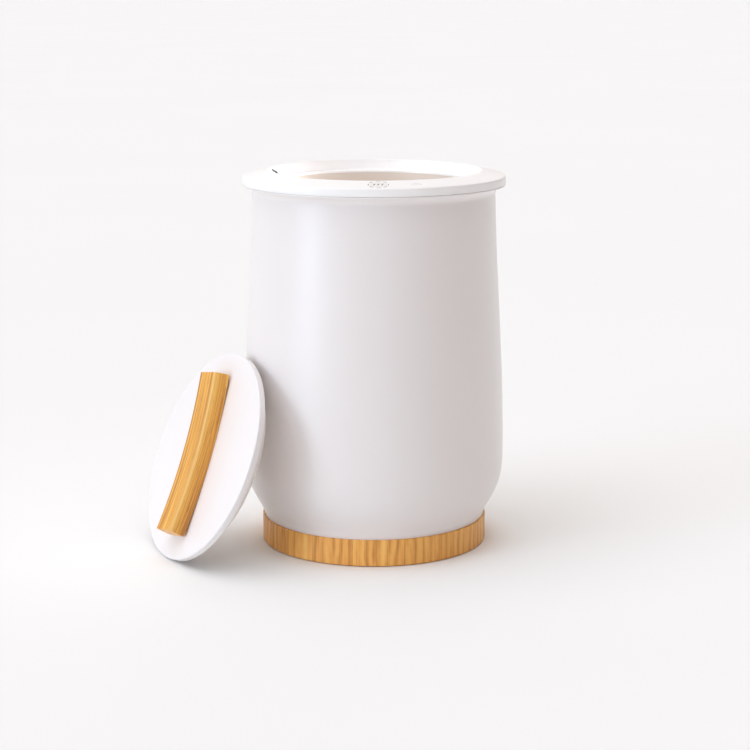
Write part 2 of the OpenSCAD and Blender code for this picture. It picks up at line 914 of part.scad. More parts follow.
module thermostat_strap() {
    low = floor_heater_z - 2 * skin - thermostat_h - strap_t;
    foot = 5;
    color(steel) {
        translate([-strap_reach, -strap_w / 2, low])
            cube([2 * strap_reach, strap_w, strap_t]);
        for (x = [-1, 1]) {
            translate([x * strap_reach - (x > 0 ? strap_t : 0), -strap_w / 2, low])
                cube([strap_t, strap_w, floor_heater_z - skin - low]);
            translate([x * strap_reach - (x > 0 ? 0 : foot), -strap_w / 2, floor_heater_z - skin - strap_t])
                cube([foot, strap_w, strap_t]);
        }
    }
}

module thermal_fuse() {
    color(white_plastic)
        translate([fuse_x, fuse_l / 2, floor_heater_z - skin - fuse_r])
            rotate([90, 0, 0])
                cylinder(h = fuse_l, r = fuse_r);
}

module temperature_sensor() {
    color(dark_plastic)
        translate([sensor_x, 0, floor_heater_z - skin - sensor_h])
            cylinder(h = sensor_h, r = sensor_r);
}

// Power key and its electronics

module power_button() {
    color(white_plastic)
        on_band(key_turn) {
            edge = 0.4;
            rotate_extrude()
                polygon([[0, stem_low], [stem_r, stem_low], [stem_r, key_rib_low], [key_rib_r, key_rib_low],
                    [key_rib_r, key_rib_top], [key_r, key_rib_top], [key_r, -key_sink - edge],
                    [key_r - edge, -key_sink], [0, -key_sink]]);
        }
}

module switch_plunger() {
    color(dark_plastic)
        on_band(key_turn)
            translate([0, 0, switch_top - plunger_in])
                cylinder(h = plunger_up + plunger_in, r = plunger_r);
}

module tact_switch() {
    color(steel)
        on_band(key_turn)
            difference() {
                translate([-switch_size / 2, -switch_size / 2, control_z])
                    cube([switch_size, switch_size, switch_h]);
                translate([0, 0, switch_top - plunger_in - key_travel - 0.2])
                    cylinder(h = plunger_in + key_travel + 2, r = plunger_r + plunger_gap);
            }
}

module control_board() {
    color(board_green)
        on_band(key_turn)
            difference() {
                translate([-control_x / 2, -control_y / 2, control_z - board_t])
                    cube([control_x, control_y, board_t]);
                for (x = [-1, 1])
                    translate([x * control_screw_x, 0, control_z - board_t - cut])
                        cylinder(h = board_t + 2 * cut, r = small_clear_r);
            }
}

module control_board_screws() {
    color(steel)
        on_band(key_turn)
            for (x = [-1, 1])
                translate([x * control_screw_x, 0, control_z - board_t - small_head_h])
                    pan_screw(control_screw_l, small_screw_r, small_head_r, small_head_h);
}

module power_board() {
    color(board_green)
        difference() {
            box_on([power_x, power_y, board_t], [0, power_cy], power_z);
            at_board_corners(power_z - cut)
                cylinder(h = board_t + 2 * cut, r = clear_r);
        }
}

module power_board_screws() {
    color(steel)
        at_board_corners(power_top + screw_head_h)
            rotate([180, 0, 0])
                pan_screw(board_screw_l);
}

module mains_terminals() {
    color(white_plastic)
        difference() {
            box_on(terminal_size, terminal_at, power_top);
            for (x = [-terminal_pitch, 0, terminal_pitch])
                translate([terminal_at[0] + x, terminal_at[1], power_top + terminal_size[2] / 3])
                    rotate([-90, 0, 0])
                        cylinder(h = terminal_size[1], r = terminal_bore_r);
        }
}

module relay() {
    color(dark_plastic)
        box_on(relay_size, relay_at, power_top);
}

module transformer() {
    color(copper)
        union() {
            box_on(transformer_size, transformer_at, power_top);
            box_on(winding_size, transformer_at, power_top + (transformer_size[2] - winding_size[2]) / 2);
        }
}

module capacitor() {
    color(dark_plastic)
        translate([capacitor_at[0], capacitor_at[1], power_top])
            cylinder(h = capacitor_h, r = capacitor_r);
}

module heater_leads() {
    color("red")
        for (x = [-lead_x, lead_x])
            wire([[x, lead_y, lead_top], [x, lead_y, lead_low], [x, terminal_at[1], lead_low],
                [x, terminal_at[1], power_top + terminal_size[2] + skin]], lead_r);
}

module control_cable() {
    color(dark_plastic)
        wire([[cable_x, -cable_pitch, cable_top], [cable_x, -cable_pitch, lead_low],
            [cable_x, cable_in_y, lead_low], [cable_x, cable_in_y, power_top + skin]], cable_r);
}

// Mains inlet in the foot ring

module cord_gland() {
    color(dark_plastic)
        difference() {
            union() {
                translate([0, gland_in, gland_z])
                    rotate([-90, 0, 0])
                        cylinder(h = gland_out - gland_in, r = gland_r);
                translate([0, base_r, gland_z])
                    rotate([-90, 0, 0])
                        cylinder(h = gland_flange_t, r = gland_flange_r);
            }
            translate([0, gland_in - cut, gland_z])
                rotate([-90, 0, 0])
                    cylinder(h = gland_out - gland_in + 2 * cut, r = gland_bore_r);
        }
}

module gland_nut() {
    color(dark_plastic)
        translate([0, nut_out - nut_t, gland_z])
            rotate([-90, 0, 0])
                difference() {
                    cylinder(h = nut_t, r = nut_af / sqrt(3), $fn = 6);
                    translate([0, 0, -cut])
                        cylinder(h = nut_t + 2 * cut, r = gland_r + nut_fit);
                }
}

// Lid

module lean() {
    rotate([0, 0, lean_bearing])
        translate([lean_r, lean_side, lean_z])
            rotate([0, 90 - lean_tilt, 0])
                children();
}

module lid_top() {
    radii = steps(0, dish_r, 14);
    face = [for (r = radii) [r, lid_face_z(r)]];
    edge = arc(lid_r - lid_round, -lid_round, lid_round, 90, 0, 6);
    low_edge = arc(lid_r - lid_round, lid_back + lid_round, lid_round, 0, -90, 6);
    under = [for (i = [len(radii) - 1:-1:0]) [radii[i], lid_face_z(radii[i]) - lid_wall]];
    in_r = lid_r - lid_wall;
    color(white_plastic)
        lean()
            difference() {
                union() {
                    spun(concat(face, edge, low_edge,
                        [[in_r, lid_back], [in_r, -lid_wall - 1], [in_r - 1, -lid_wall]], under));
                    around(lid_bearings, lid_screw_pitch)
                        translate([0, 0, cup_floor])
                            cylinder(h = lid_boss_top - cup_floor, r = lid_boss_r);
                }
                around(lid_bearings, lid_screw_pitch)
                    translate([0, 0, cup_floor - cut])
                        cylinder(h = lid_screw_l + pilot_spare + cut, r = pilot_r);
                rotate([0, 0, handle_turn])
                    for (x = [-1, 1])
                        translate([x * handle_screw_x, 0, -lid_dish - lid_wall - cut])
                            cylinder(h = lid_dish + lid_wall + 3, r = handle_pilot_r + 0.4);
            }
}

module lid_underside() {
    color(white_plastic)
        lean()
            difference() {
                spun(concat(
                    [[0, plug_low]],
                    arc(plug_r - plug_round, plug_low + plug_round, plug_round, 270, 360, 6),
                    [[plug_r, lid_back], [pan_r, lid_back], [pan_r, lid_back + pan_t],
                        [plug_r - pan_t, lid_back + pan_t]],
                    arc(plug_r - plug_round, plug_low + plug_round, plug_round - pan_t, 360, 270, 4),
                    [[0, cup_floor]]));
                around(lid_bearings, lid_screw_pitch) {
                    translate([0, 0, plug_low - cut])
                        cylinder(h = pan_t + 2 * cut, r = clear_r);
                    translate([0, 0, plug_low - cut])
                        cylinder(h = cut + lid_sink, r = screw_head_r + 0.3);
                }
            }
}

module lid_insulation() {
    color(wool)
        lean()
            difference() {
                translate([0, 0, cup_floor])
                    cylinder(h = lid_wool_top - cup_floor, r = lid_wool_r, $fn = round_fn);
                around(lid_bearings, lid_screw_pitch)
                    translate([0, 0, cup_floor - cut])
                        cylinder(h = lid_wool_top - cup_floor + 2 * cut, r = lid_boss_r + 0.4);
            }
}

module lid_seal() {
    lip = 1.5;
    color(grey_plastic)
        lean()
            spun([[seal_in_r, lid_back], [seal_in_r + lip, lid_back - seal_h],
                [seal_in_r + seal_w - lip, lid_back - seal_h], [seal_in_r + seal_w, lid_back]]);
}

// Rounded section of the bar: its upper edges are rounder than its lower ones
module handle_section() {
    half = handle_w / 2;
    inner = bend_r - handle_t;
    polygon(concat(
        arc(bend_r - handle_edge, half - handle_edge, handle_edge, 0, 90, 5),
        arc(inner + handle_round, half - handle_round, handle_round, 90, 180, 6),
        arc(inner + handle_round, -half + handle_round, handle_round, 180, 270, 6),
        arc(bend_r - handle_edge, -half + handle_edge, handle_edge, 270, 360, 5)));
}

module lid_handle() {
    color(bamboo)
        lean()
            rotate([0, 0, handle_turn])
                difference() {
                    translate([0, 0, handle_under + bend_r])
                        rotate([90, 0, 0])
                            rotate([0, 0, -90 - bend_half])
                                rotate_extrude(angle = 2 * bend_half, $fn = 1440)
                                    handle_section();
                    for (x = [-1, 1])
                        translate([x * handle_screw_x, 0, handle_under - cut])
                            cylinder(h = handle_screw_in + 2 + cut, r = handle_pilot_r);
                }
}

module handle_screws() {
    seat = lid_face_z(handle_screw_x) - lid_wall - 0.35;
    color(steel)
        lean()
            rotate([0, 0, handle_turn])
                for (x = [-1, 1])
                    translate([x * handle_screw_x, 0, seat - handle_head_h])
                        pan_screw(handle_screw_in + lid_wall, handle_screw_r, handle_head_r, handle_head_h);
}

module lid_screws() {
    color(steel)
        lean()
            around(lid_bearings, lid_screw_pitch)
                translate([0, 0, plug_low + lid_sink - lid_head_h])
                    pan_screw(lid_screw_l, screw_r, screw_head_r, lid_head_h);
}

outer_shell();
bamboo_base_ring();
base_plate();
anti_slip_mat();
base_screws();
top_ring();
ring_screws();
inner_drum();
drum_clamp_ring();
clamp_screws();
drum_heater_band();
floor_heater();
insulation_sleeve();
insulation_disc();
drum_cradle();
cradle_screws();
thermostat();
thermostat_strap();
thermal_fuse();
temperature_sensor();
power_button();
switch_plunger();
tact_switch();
icon_ring();
control_board();
control_board_screws();
status_lens();
status_led_board();
status_board_screw();
power_board();
power_board_screws();
mains_terminals();
relay();
transformer();
capacitor();
heater_leads();
control_cable();
cord_gland();
gland_nut();
lid_top();
lid_underside();
lid_insulation();
lid_seal();
lid_handle();
handle_screws();
lid_screws();
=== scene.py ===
"""A heated bucket with a bamboo foot ring, and its loose lid leaning on it."""

import json

import bmesh
import bpy
import numpy as np
from mathutils import Matrix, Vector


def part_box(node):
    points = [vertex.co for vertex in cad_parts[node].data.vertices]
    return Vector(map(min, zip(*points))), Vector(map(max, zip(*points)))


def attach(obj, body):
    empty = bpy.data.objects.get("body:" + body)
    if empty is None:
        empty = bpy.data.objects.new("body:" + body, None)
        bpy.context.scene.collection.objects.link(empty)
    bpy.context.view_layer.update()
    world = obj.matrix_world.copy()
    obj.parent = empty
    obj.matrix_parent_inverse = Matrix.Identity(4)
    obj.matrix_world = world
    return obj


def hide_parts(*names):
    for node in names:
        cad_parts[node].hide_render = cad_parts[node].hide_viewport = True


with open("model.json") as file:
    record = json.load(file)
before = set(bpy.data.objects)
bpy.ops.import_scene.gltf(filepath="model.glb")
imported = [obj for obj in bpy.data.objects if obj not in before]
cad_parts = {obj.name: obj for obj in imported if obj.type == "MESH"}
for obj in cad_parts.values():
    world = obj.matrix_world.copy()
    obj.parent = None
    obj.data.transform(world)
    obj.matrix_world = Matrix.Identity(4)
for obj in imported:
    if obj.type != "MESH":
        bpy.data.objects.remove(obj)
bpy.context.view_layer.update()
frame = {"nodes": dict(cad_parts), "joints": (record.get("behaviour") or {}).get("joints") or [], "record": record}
nodes = frame["nodes"]

MM = 0.001
TURN = 2 * np.pi

# Heights that the frame gives, and radii of the bucket
TOP_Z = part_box("top_ring")[1][2]
SHELL_TOP_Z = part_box("outer_shell")[1][2]
FOOT_LOW_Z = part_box("bamboo_base_ring")[0][2]
FOOT_TOP_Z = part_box("bamboo_base_ring")[1][2]
DRUM_LOW_Z, DRUM_TOP_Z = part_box("inner_drum")[0][2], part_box("inner_drum")[1][2]
RIM_R = 180 * MM
BELLY_R = 180.5 * MM
BELLY_Z = 128 * MM
NECK_R = 165.5 * MM
TAPER_RUN = 421 * MM
SHELL_FOOT_R = 154 * MM
FOOT_SWELL = 2.9
FOOT_FLARE = 1.75
NECK_FILLET = 12 * MM
FLANGE_LIP = 1.7 * MM
SHELL_WALL = 2.8 * MM
SHELL_FLANGE = 22 * MM
FOOT_R = 156.6 * MM
FOOT_IN_R = 146 * MM
JOINT_Z = TOP_Z - 18 * MM
SEAT_R = 147 * MM
LEDGE_Z = TOP_Z - 14.3 * MM
LEDGE_UNDER_Z = DRUM_TOP_Z
MOUTH_R = 129 * MM
MOUTH_ROUND = 0.6 * MM
RING_WALL = 2.6 * MM
BAND_SLOPE = np.radians(12.8)
CREST_ROUND = 1.2 * MM
RIM_ROUND = 2.6 * MM
DRUM_R = 129.3 * MM
DRUM_WALL = 1.2 * MM
DRUM_CORNER = 12 * MM
DRUM_FLANGE = 11 * MM

# The key and the lens on the sloping band, and the slot in the seat's wall
KEY_TURN = np.radians(2)
KEY_R = 11 * MM
KEY_HOLE_R = 11.35 * MM
KEY_SINK = 0.1 * MM
DASH_R = 13 * MM
DASH_W = 0.9 * MM
DASH_COUNT = 8
DASH_TURN = 2 / 3 * TURN / DASH_COUNT
LENS_TURN = np.radians(19.5)
LENS_W = 17 * MM
LENS_L = 9 * MM
LENS_ROUND = 1.6 * MM
LENS_FIT = 0.12 * MM
SLOT_BEARING = np.radians(160)
SLOT_W = 2.8 * MM
SLOT_L = 22 * MM
SLOT_SLANT = np.radians(18)
SLOT_FIELD = (25 * MM, 11 * MM)

# The lid and its handle
LID_R = 145.97 * MM
LID_RIM = 9.5 * MM
LID_ROUND = 1.6 * MM
LID_DISH = 4 * MM
LID_DISH_R = LID_R - 12 * MM
LID_WALL = 2.4 * MM
HANDLE_L = 228 * MM
HANDLE_W = 45 * MM
HANDLE_T = 23 * MM
HANDLE_SAG = 7 * MM
HANDLE_TURN = np.radians(11)
HANDLE_TOP_EDGE = 3.5 * MM
HANDLE_LOW_EDGE = 1.5 * MM
HANDLE_END_EDGE = 1 * MM

# Pitch of the soft waves across the foot ring's timber, and a painted highlight: the paler line along one of the
# handle's rounded upper edges, where the light catches it
FIGURE_PITCH = 12.6 * MM
RIDGE = (HANDLE_W / 2 - 1 * MM, HANDLE_T - 1 * MM)
RIDGE_HIGHLIGHT_COLOUR = (1.0, 0.68, 0.24, 1)
RIDGE_CORE_R = 1 * MM
RIDGE_FADE_R = 5 * MM
RIDGE_HIGHLIGHT_STRENGTH = 0.6

# Painted shade inside the top ring's moulding and its slot, and the depth over which it sets in
HOLLOW_SHADE_COLOUR = (0.22, 0.215, 0.21, 1)
HOLLOW_SHADE_FADE = 0.3 * MM

# The camera's place in metres, its tilt below the level, and its focal length in pixels of the picture
EYE = (1.5 * MM, -2.703, 0.7873)
EYE_TILT = 11.63
FOCAL_PIXELS = 1977.4
PICTURE_PIXELS = 750
SENSOR_WIDTH = 36


# Arrays of points

def arc(cx, cy, r, start, end, count=8):
    """Points (cx + r cos a, cy + r sin a) from one angle to another, in degrees."""
    a = np.radians(np.linspace(start, end, count + 1))
    return np.stack([cx + r * np.cos(a), cy + r * np.sin(a)], -1)


def chain(*parts):
    """One outline from points and runs of points."""
    return np.concatenate([np.atleast_2d(np.asarray(part, float)) for part in parts])


def spin(profile, bearings):
    """Points (r cos a, r sin a, z): a row for each profile point (r, z) and a column for each bearing a."""
    r, z = profile[:, :1], profile[:, 1:]
    c, s = np.cos(bearings)[None], np.sin(bearings)[None]
    return np.stack([r * c, r * s, z + 0 * c], -1)


def grid_quads(rows, columns, wrap_rows=False, wrap_columns=False):
    """Quads between neighbours in a grid of points, as an array of rows by columns by 4."""
    i = np.arange(rows if wrap_rows else rows - 1)[:, None]
    j = np.arange(columns if wrap_columns else columns - 1)[None, :]
    i2, j2 = (i + 1) % rows, (j + 1) % columns
    return np.stack([i * columns + j, i * columns + j2, i2 * columns + j2, i2 * columns + j], -1)


def placed(points, place):
    """Points carried by a 4 by 4 matrix."""
    return points @ place[:3, :3].T + place[:3, 3]


# Pieces

def new_piece(name, points, quads, finish, body, grain=None, sharp=35):
    """A smooth mesh piece on a body. Without grain, equal points are merged, so that seams and poles close. grain
    holds the place of each point in the straight timber that the piece is cut from."""
    mesh = bpy.data.meshes.new(name)
    mesh.from_pydata(points.reshape(-1, 3).tolist(), [], quads.reshape(-1, quads.shape[-1]).tolist())
    if grain is not None:
        layer = mesh.attributes.new("grain", "FLOAT_VECTOR", "POINT")
        layer.data.foreach_set("vector", grain.astype(np.float32).ravel())
    else:
        work = bmesh.new()
        work.from_mesh(mesh)
        bmesh.ops.remove_doubles(work, verts=work.verts, dist=1e-7)
        bmesh.ops.dissolve_degenerate(work, dist=1e-8, edges=work.edges)
        work.to_mesh(mesh)
        work.free()
    mesh.shade_smooth()
    mesh.set_sharp_from_angle(angle=np.radians(sharp))
    mesh.materials.append(finish)
    piece = bpy.data.objects.new(name, mesh)
    bpy.context.scene.collection.objects.link(piece)
    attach(piece, body)
    return piece


def turned(name, profile, finish, body, place=np.eye(4), count=360):
    """A closed profile of (r, z) points, listed with the solid on its left, spun about an axis."""
    points = spin(profile, np.linspace(0, TURN, count, endpoint=False))
    quads = grid_quads(len(profile), count, True, True)
    return new_piece(name, placed(points.reshape(-1, 3), place), quads, finish, body)


def soften(name):
    """Smooth shading on a CAD node's curved faces, with its sharp edges kept."""
    node = nodes[name]
    node.data.polygons.foreach_set("use_smooth", np.ones(len(node.data.polygons), bool))
    weld = node.modifiers.new("weld", "WELD")
    weld.merge_threshold = 1e-6
    split = node.modifiers.new("edges", "EDGE_SPLIT")
    split.split_angle = np.radians(30)


# Nodes of a finish

def add(tree, kind, inputs=None, **settings):
    """A shader node. An input's value is a number, a colour or another node's socket."""
    made = tree.nodes.new("ShaderNode" + kind)
    for key, value in settings.items():
        setattr(made, key, value)
    for key, value in (inputs or {}).items():
        if isinstance(value, bpy.types.NodeSocket):
            tree.links.new(value, made.inputs[key])
        else:
            made.inputs[key].default_value = value
    return made


def start_finish(name, **sockets):
    """A material, its node tree and its shader, with the shader's own sockets set."""
    finish = bpy.data.materials.new(name)
    finish.use_nodes = True
    tree = finish.node_tree
    shader = tree.nodes["Principled BSDF"]
    for key, value in sockets.items():
        shader.inputs[key.replace("_", " ").title().replace("Ior", "IOR")].default_value = value
    return finish, tree, shader


def object_coords(tree, scale=(1, 1, 1), turn=(0, 0, 0)):
    """Object coordinates in metres, turned and stretched."""
    coords = add(tree, "TexCoord").outputs["Object"]
    return add(tree, "Mapping", {"Vector": coords, "Rotation": turn, "Scale": scale}).outputs["Vector"]


def noise(tree, vector, scale, detail=3.0, roughness=0.5, distortion=0.0):
    """A cloudy pattern about 0.5."""
    made = add(tree, "TexNoise", {"Vector": vector, "Scale": scale, "Detail": detail, "Roughness": roughness,
                                  "Distortion": distortion})
    return made.outputs["Fac"]


def remap(tree, value, low, high, to_low, to_high):
    """A value between low and high carried to the range from to_low to to_high, and held at its ends."""
    made = add(tree, "MapRange", {"Value": value, "From Min": low, "From Max": high, "To Min": to_low,
                                  "To Max": to_high})
    return made.outputs["Result"]


def maths(tree, operation, first, second=0.0):
    """Two values put through one operation. Some operations leave the second out."""
    return add(tree, "Math", {0: first, 1: second}, operation=operation).outputs["Value"]


def blend(tree, factor, first, second, kind="MIX"):
    """Colour first, going to colour second as the factor goes to 1."""
    made = add(tree, "Mix", data_type="RGBA", blend_type=kind)
    for socket, value in ((made.inputs[0], factor), (made.inputs[6], first), (made.inputs[7], second)):
        if isinstance(value, bpy.types.NodeSocket):
            tree.links.new(value, socket)
        else:
            socket.default_value = value
    return made.outputs[2]


def ramp(tree, value, *stops):
    """A colour ramp from (position, colour) stops."""
    made = add(tree, "ValToRGB", {"Fac": value})
    elements = made.color_ramp.elements
    while len(elements) < len(stops):
        elements.new(0.5)
    for element, (position, colour) in zip(elements, stops):
        element.position = position
        element.color = (*colour, 1)
    return made.outputs["Color"]


def bump(tree, shader, height, distance, strength=1.0, under=None):
    """Relief in metres, on top of another relief where there is one."""
    inputs = {"Height": height, "Distance": distance, "Strength": strength}
    if under is not None:
        inputs["Normal"] = under
    made = add(tree, "Bump", inputs).outputs["Normal"]
    tree.links.new(made, shader.inputs["Normal"])
    return made


# Finishes

def moulded(name, colour, low, high, grain_scale, grain_depth, coat=0.0, coat_roughness=0.2, mottle=0.03):
    """Moulded plastic: a slight mottle, patchy gloss between two roughnesses and a fine grain."""
    finish, tree, shader = start_finish(name, coat_weight=coat, coat_roughness=coat_roughness)
    coords = object_coords(tree)
    cloud = noise(tree, coords, 9.0, 4.0)
    shade = remap(tree, cloud, 0.3, 0.7, 1 - mottle, 1.0)
    tree.links.new(blend(tree, 1.0, (*colour, 1), shade, "MULTIPLY"), shader.inputs["Base Color"])
    patches = noise(tree, coords, 35.0, 5.0, 0.6)
    tree.links.new(remap(tree, patches, 0.3, 0.7, low, high), shader.inputs["Roughness"])
    bump(tree, shader, noise(tree, coords, grain_scale, 2.0), grain_depth)
    return finish


def hypot(tree, first, second):
    """The square root of the sum of two squares."""
    squares = [maths(tree, "MULTIPLY", value, value) for value in (first, second)]
    return maths(tree, "SQRT", maths(tree, "ADD", *squares))


def bamboo(name, light, middle, dark, strip=12 * MM, figure=0.0, contrast=1.0, ridge=None):
    """Bamboo timber in grain coordinates, x along the fibres: strips of different tone glued side by side,
    long streaks and short dark vessels. Where figure is over 0 there are soft waves across the fibres, and
    where ridge gives the (y, z) of an edge there is a painted highlight, a paler line along it."""
    finish, tree, shader = start_finish(name, coat_weight=0.12, coat_roughness=0.35)
    strip_wander = 2.5 * MM
    streak_share, band_share = 0.55, 0.45
    fibre_depth, pore_depth = 0.12 * MM, 0.08 * MM
    coords = add(tree, "Attribute", attribute_name="grain").outputs["Vector"]

    def stretched(along, across, thick):
        return add(tree, "Mapping", {"Vector": coords, "Scale": (along, across, thick)}).outputs["Vector"]

    split = add(tree, "SeparateXYZ", {"Vector": coords}).outputs
    wander = noise(tree, stretched(9, 9, 9), 1.0, 2.0)
    side = maths(tree, "ADD", split["Y"], maths(tree, "MULTIPLY", wander, strip_wander))
    strip_number = maths(tree, "FLOOR", maths(tree, "DIVIDE", side, strip))
    strip_tone = add(tree, "TexWhiteNoise", {"W": strip_number}, noise_dimensions="1D").outputs["Value"]
    streaks = noise(tree, stretched(5, 520, 520), 1.0, 4.0, 0.62, 0.25)
    bands = noise(tree, stretched(3, 90, 90), 1.0, 3.0, 0.5, 0.5)
    fine = maths(tree, "MULTIPLY", streaks, streak_share)
    broad = maths(tree, "MULTIPLY", bands, band_share)
    mixed = maths(tree, "ADD", fine, broad)
    mixed = maths(tree, "ADD", mixed, remap(tree, strip_tone, 0.0, 1.0, -0.07, 0.07))
    if figure > 0:
        sway = noise(tree, stretched(16, 22, 22), 1.0, 2.0)
        waves = maths(tree, "DIVIDE", split["Y"], FIGURE_PITCH)
        phase = maths(tree, "ADD", waves, maths(tree, "MULTIPLY", sway, 1.5))
        wave = maths(tree, "SINE", maths(tree, "MULTIPLY", phase, TURN))
        patchy = noise(tree, stretched(7, 9, 9), 1.0, 1.0)
        wave = maths(tree, "MULTIPLY", wave, remap(tree, patchy, 0.35, 0.65, 0.4, 1.0))
        mixed = maths(tree, "ADD", mixed, maths(tree, "MULTIPLY", wave, figure))
    wood = ramp(tree, mixed, (0.5 - 0.2 / contrast, dark), (0.50, middle), (0.5 + 0.22 / contrast, light))
    pores = noise(tree, stretched(45, 480, 480), 1.0, 2.0, 0.6)
    pore_mask = remap(tree, pores, 0.58, 0.70, 0.0, 0.35 * contrast)
    wood = blend(tree, pore_mask, wood, (*dark, 1))
    # Painted highlight: a paler line along the rounded edge, where the light catches it.
    if ridge is not None:
        off_y = maths(tree, "SUBTRACT", split["Y"], ridge[0])
        off_z = maths(tree, "SUBTRACT", split["Z"], ridge[1])
        off = hypot(tree, off_y, off_z)
        near = remap(tree, off, RIDGE_CORE_R, RIDGE_FADE_R, RIDGE_HIGHLIGHT_STRENGTH, 0.0)
        wood = blend(tree, near, wood, RIDGE_HIGHLIGHT_COLOUR)
    tree.links.new(wood, shader.inputs["Base Color"])
    tree.links.new(remap(tree, streaks, 0.3, 0.7, 0.52, 0.38), shader.inputs["Roughness"])
    fibre = bump(tree, shader, streaks, fibre_depth, 0.6)
    bump(tree, shader, maths(tree, "MULTIPLY", pore_mask, -1.0), pore_depth, 1.0, fibre)
    return finish


def brushed(name, colour, roughness, rings=True, metallic=1.0):
    """Spun sheet metal: fine rings round the axis, or straight brushing, with smudges of gloss. Under a matt
    anodised skin the metal is less than fully metallic."""
    finish, tree, shader = start_finish(name, metallic=metallic, anisotropic=0.5)
    lines = object_coords(tree, (30, 30, 2600) if rings else (2600, 30, 30))
    fine = noise(tree, lines, 1.0, 3.0, 0.6)
    smudge = noise(tree, object_coords(tree), 14.0, 4.0, 0.6)
    shade = remap(tree, fine, 0.3, 0.7, 0.90, 1.0)
    tree.links.new(blend(tree, 1.0, (*colour, 1), shade, "MULTIPLY"), shader.inputs["Base Color"])
    gloss = remap(tree, smudge, 0.3, 0.7, roughness - 0.05, roughness + 0.08)
    tree.links.new(gloss, shader.inputs["Roughness"])
    bump(tree, shader, fine, 0.02 * MM, 0.5)
    return finish


def felted(name, colour):
    """Pressed wool: matted fibres in two sizes."""
    finish, tree, shader = start_finish(name, roughness=0.95, sheen_weight=0.3)
    coords = object_coords(tree)
    fibres = noise(tree, coords, 700.0, 6.0, 0.7, 1.5)
    clumps = noise(tree, coords, 60.0, 4.0)
    shade = remap(tree, maths(tree, "MULTIPLY", fibres, clumps), 0.1, 0.45, 0.6, 1.0)
    tree.links.new(blend(tree, 1.0, (*colour, 1), shade, "MULTIPLY"), shader.inputs["Base Color"])
    bump(tree, shader, fibres, 0.5 * MM)
    return finish


def printed_film(name, colour, track):
    """Heater film or a board: a base colour with a fine pattern of tracks."""
    finish, tree, shader = start_finish(name, coat_weight=0.4, coat_roughness=0.15)
    coords = object_coords(tree)
    cells = add(tree, "TexVoronoi", {"Vector": coords, "Scale": 220.0}, distance="CHEBYCHEV",
                feature="F1").outputs["Distance"]
    mask = remap(tree, cells, 0.42, 0.5, 0.0, 1.0)
    tree.links.new(blend(tree, mask, (*colour, 1), (*track, 1)), shader.inputs["Base Color"])
    tree.links.new(remap(tree, noise(tree, coords, 90.0), 0.3, 0.7, 0.3, 0.45), shader.inputs["Roughness"])
    bump(tree, shader, mask, 0.04 * MM)
    return finish


# The shell, ring and lid are one satin white plastic in three copies. The ring's copy is lighter than the shell's
# as painted light, for the brighter light on the ring's band and in its seat.
SHELL_WHITE = moulded("satin_white", (0.87, 0.83, 0.825), 0.32, 0.40, 700, 0.008 * MM, 0.9, 0.32, 0.01)
RING_WHITE = moulded("satin_white_ring", (0.975, 0.965, 0.965), 0.32, 0.40, 700, 0.008 * MM, 0.3, 0.22, 0.008)
LID_WHITE = moulded("satin_white_lid", (0.93, 0.90, 0.905), 0.33, 0.40, 1300, 0.012 * MM, 0.15, 0.2, 0.015)
INNER_WHITE = moulded("matte_white", (0.90, 0.84, 0.79), 0.45, 0.55, 700, 0.02 * MM)
KEY_WHITE = moulded("key_white", (0.88, 0.86, 0.85), 0.30, 0.36, 1500, 0.01 * MM, 0.2, 0.18, 0.01)
GREY_PLASTIC = moulded("grey_plastic", (0.30, 0.30, 0.31), 0.45, 0.6, 1100, 0.03 * MM)
BLACK_PLASTIC = moulded("black_plastic", (0.02, 0.02, 0.022), 0.35, 0.5, 1100, 0.03 * MM, 0.1)
SOFT_BLACK = moulded("soft_black", (0.025, 0.025, 0.027), 0.7, 0.85, 700, 0.08 * MM)
SOFT_GREY = moulded("soft_grey", (0.42, 0.42, 0.43), 0.55, 0.7, 900, 0.02 * MM, 0.0, 0.2, 0.05)
INK = moulded("grey_ink", (0.07, 0.065, 0.07), 0.35, 0.45, 2000, 0.003 * MM)
LENS = moulded("pale_lens", (0.90, 0.915, 0.95), 0.2, 0.28, 1800, 0.004 * MM, 0.4, 0.1, 0.04)
# The handle's paler line along one upper edge is a painted highlight.
HANDLE_BAMBOO = bamboo("handle_bamboo", (1.0, 0.64, 0.16), (0.88, 0.44, 0.07), (0.50, 0.19, 0.03),
                       contrast=1.7, ridge=RIDGE)
FOOT_BAMBOO = bamboo("foot_bamboo", (1.00, 0.58, 0.15), (0.92, 0.44, 0.095), (0.58, 0.23, 0.04),
                     strip=25 * MM, figure=0.14)
DRUM_METAL = brushed("anodised_aluminium", (0.84, 0.755, 0.68), 0.45, metallic=0.1)
STEEL = brushed("zinc_steel", (0.62, 0.62, 0.64), 0.32, False)
WOOL = felted("pressed_wool", (0.80, 0.76, 0.66))
COPPER_FILM = printed_film("heater_film", (0.50, 0.25, 0.08), (0.75, 0.45, 0.25))
BOARD = printed_film("solder_mask", (0.01, 0.12, 0.05), (0.03, 0.22, 0.10))

FINISH_OF_SLOT = {
    "shell_white": SHELL_WHITE, "inner_white": INNER_WHITE, "bamboo": HANDLE_BAMBOO,
    "grey_plastic": GREY_PLASTIC, "black_plastic": BLACK_PLASTIC, "soft_black": SOFT_BLACK,
    "soft_grey": SOFT_GREY, "drum_metal": DRUM_METAL, "steel": STEEL, "copper": COPPER_FILM,
    "wool": WOOL, "lens": LENS, "icon_print": INK, "circuit_board": BOARD,
}
for subpart in frame["record"]["subparts"]:
    node = nodes[subpart["node"]]
    node.data.materials.clear()
    node.data.materials.append(FINISH_OF_SLOT[subpart["material_slot"]])
    soften(subpart["node"])


# Shell: a half cosine from the belly up to the neck, a power curve down to the foot, and a flange above

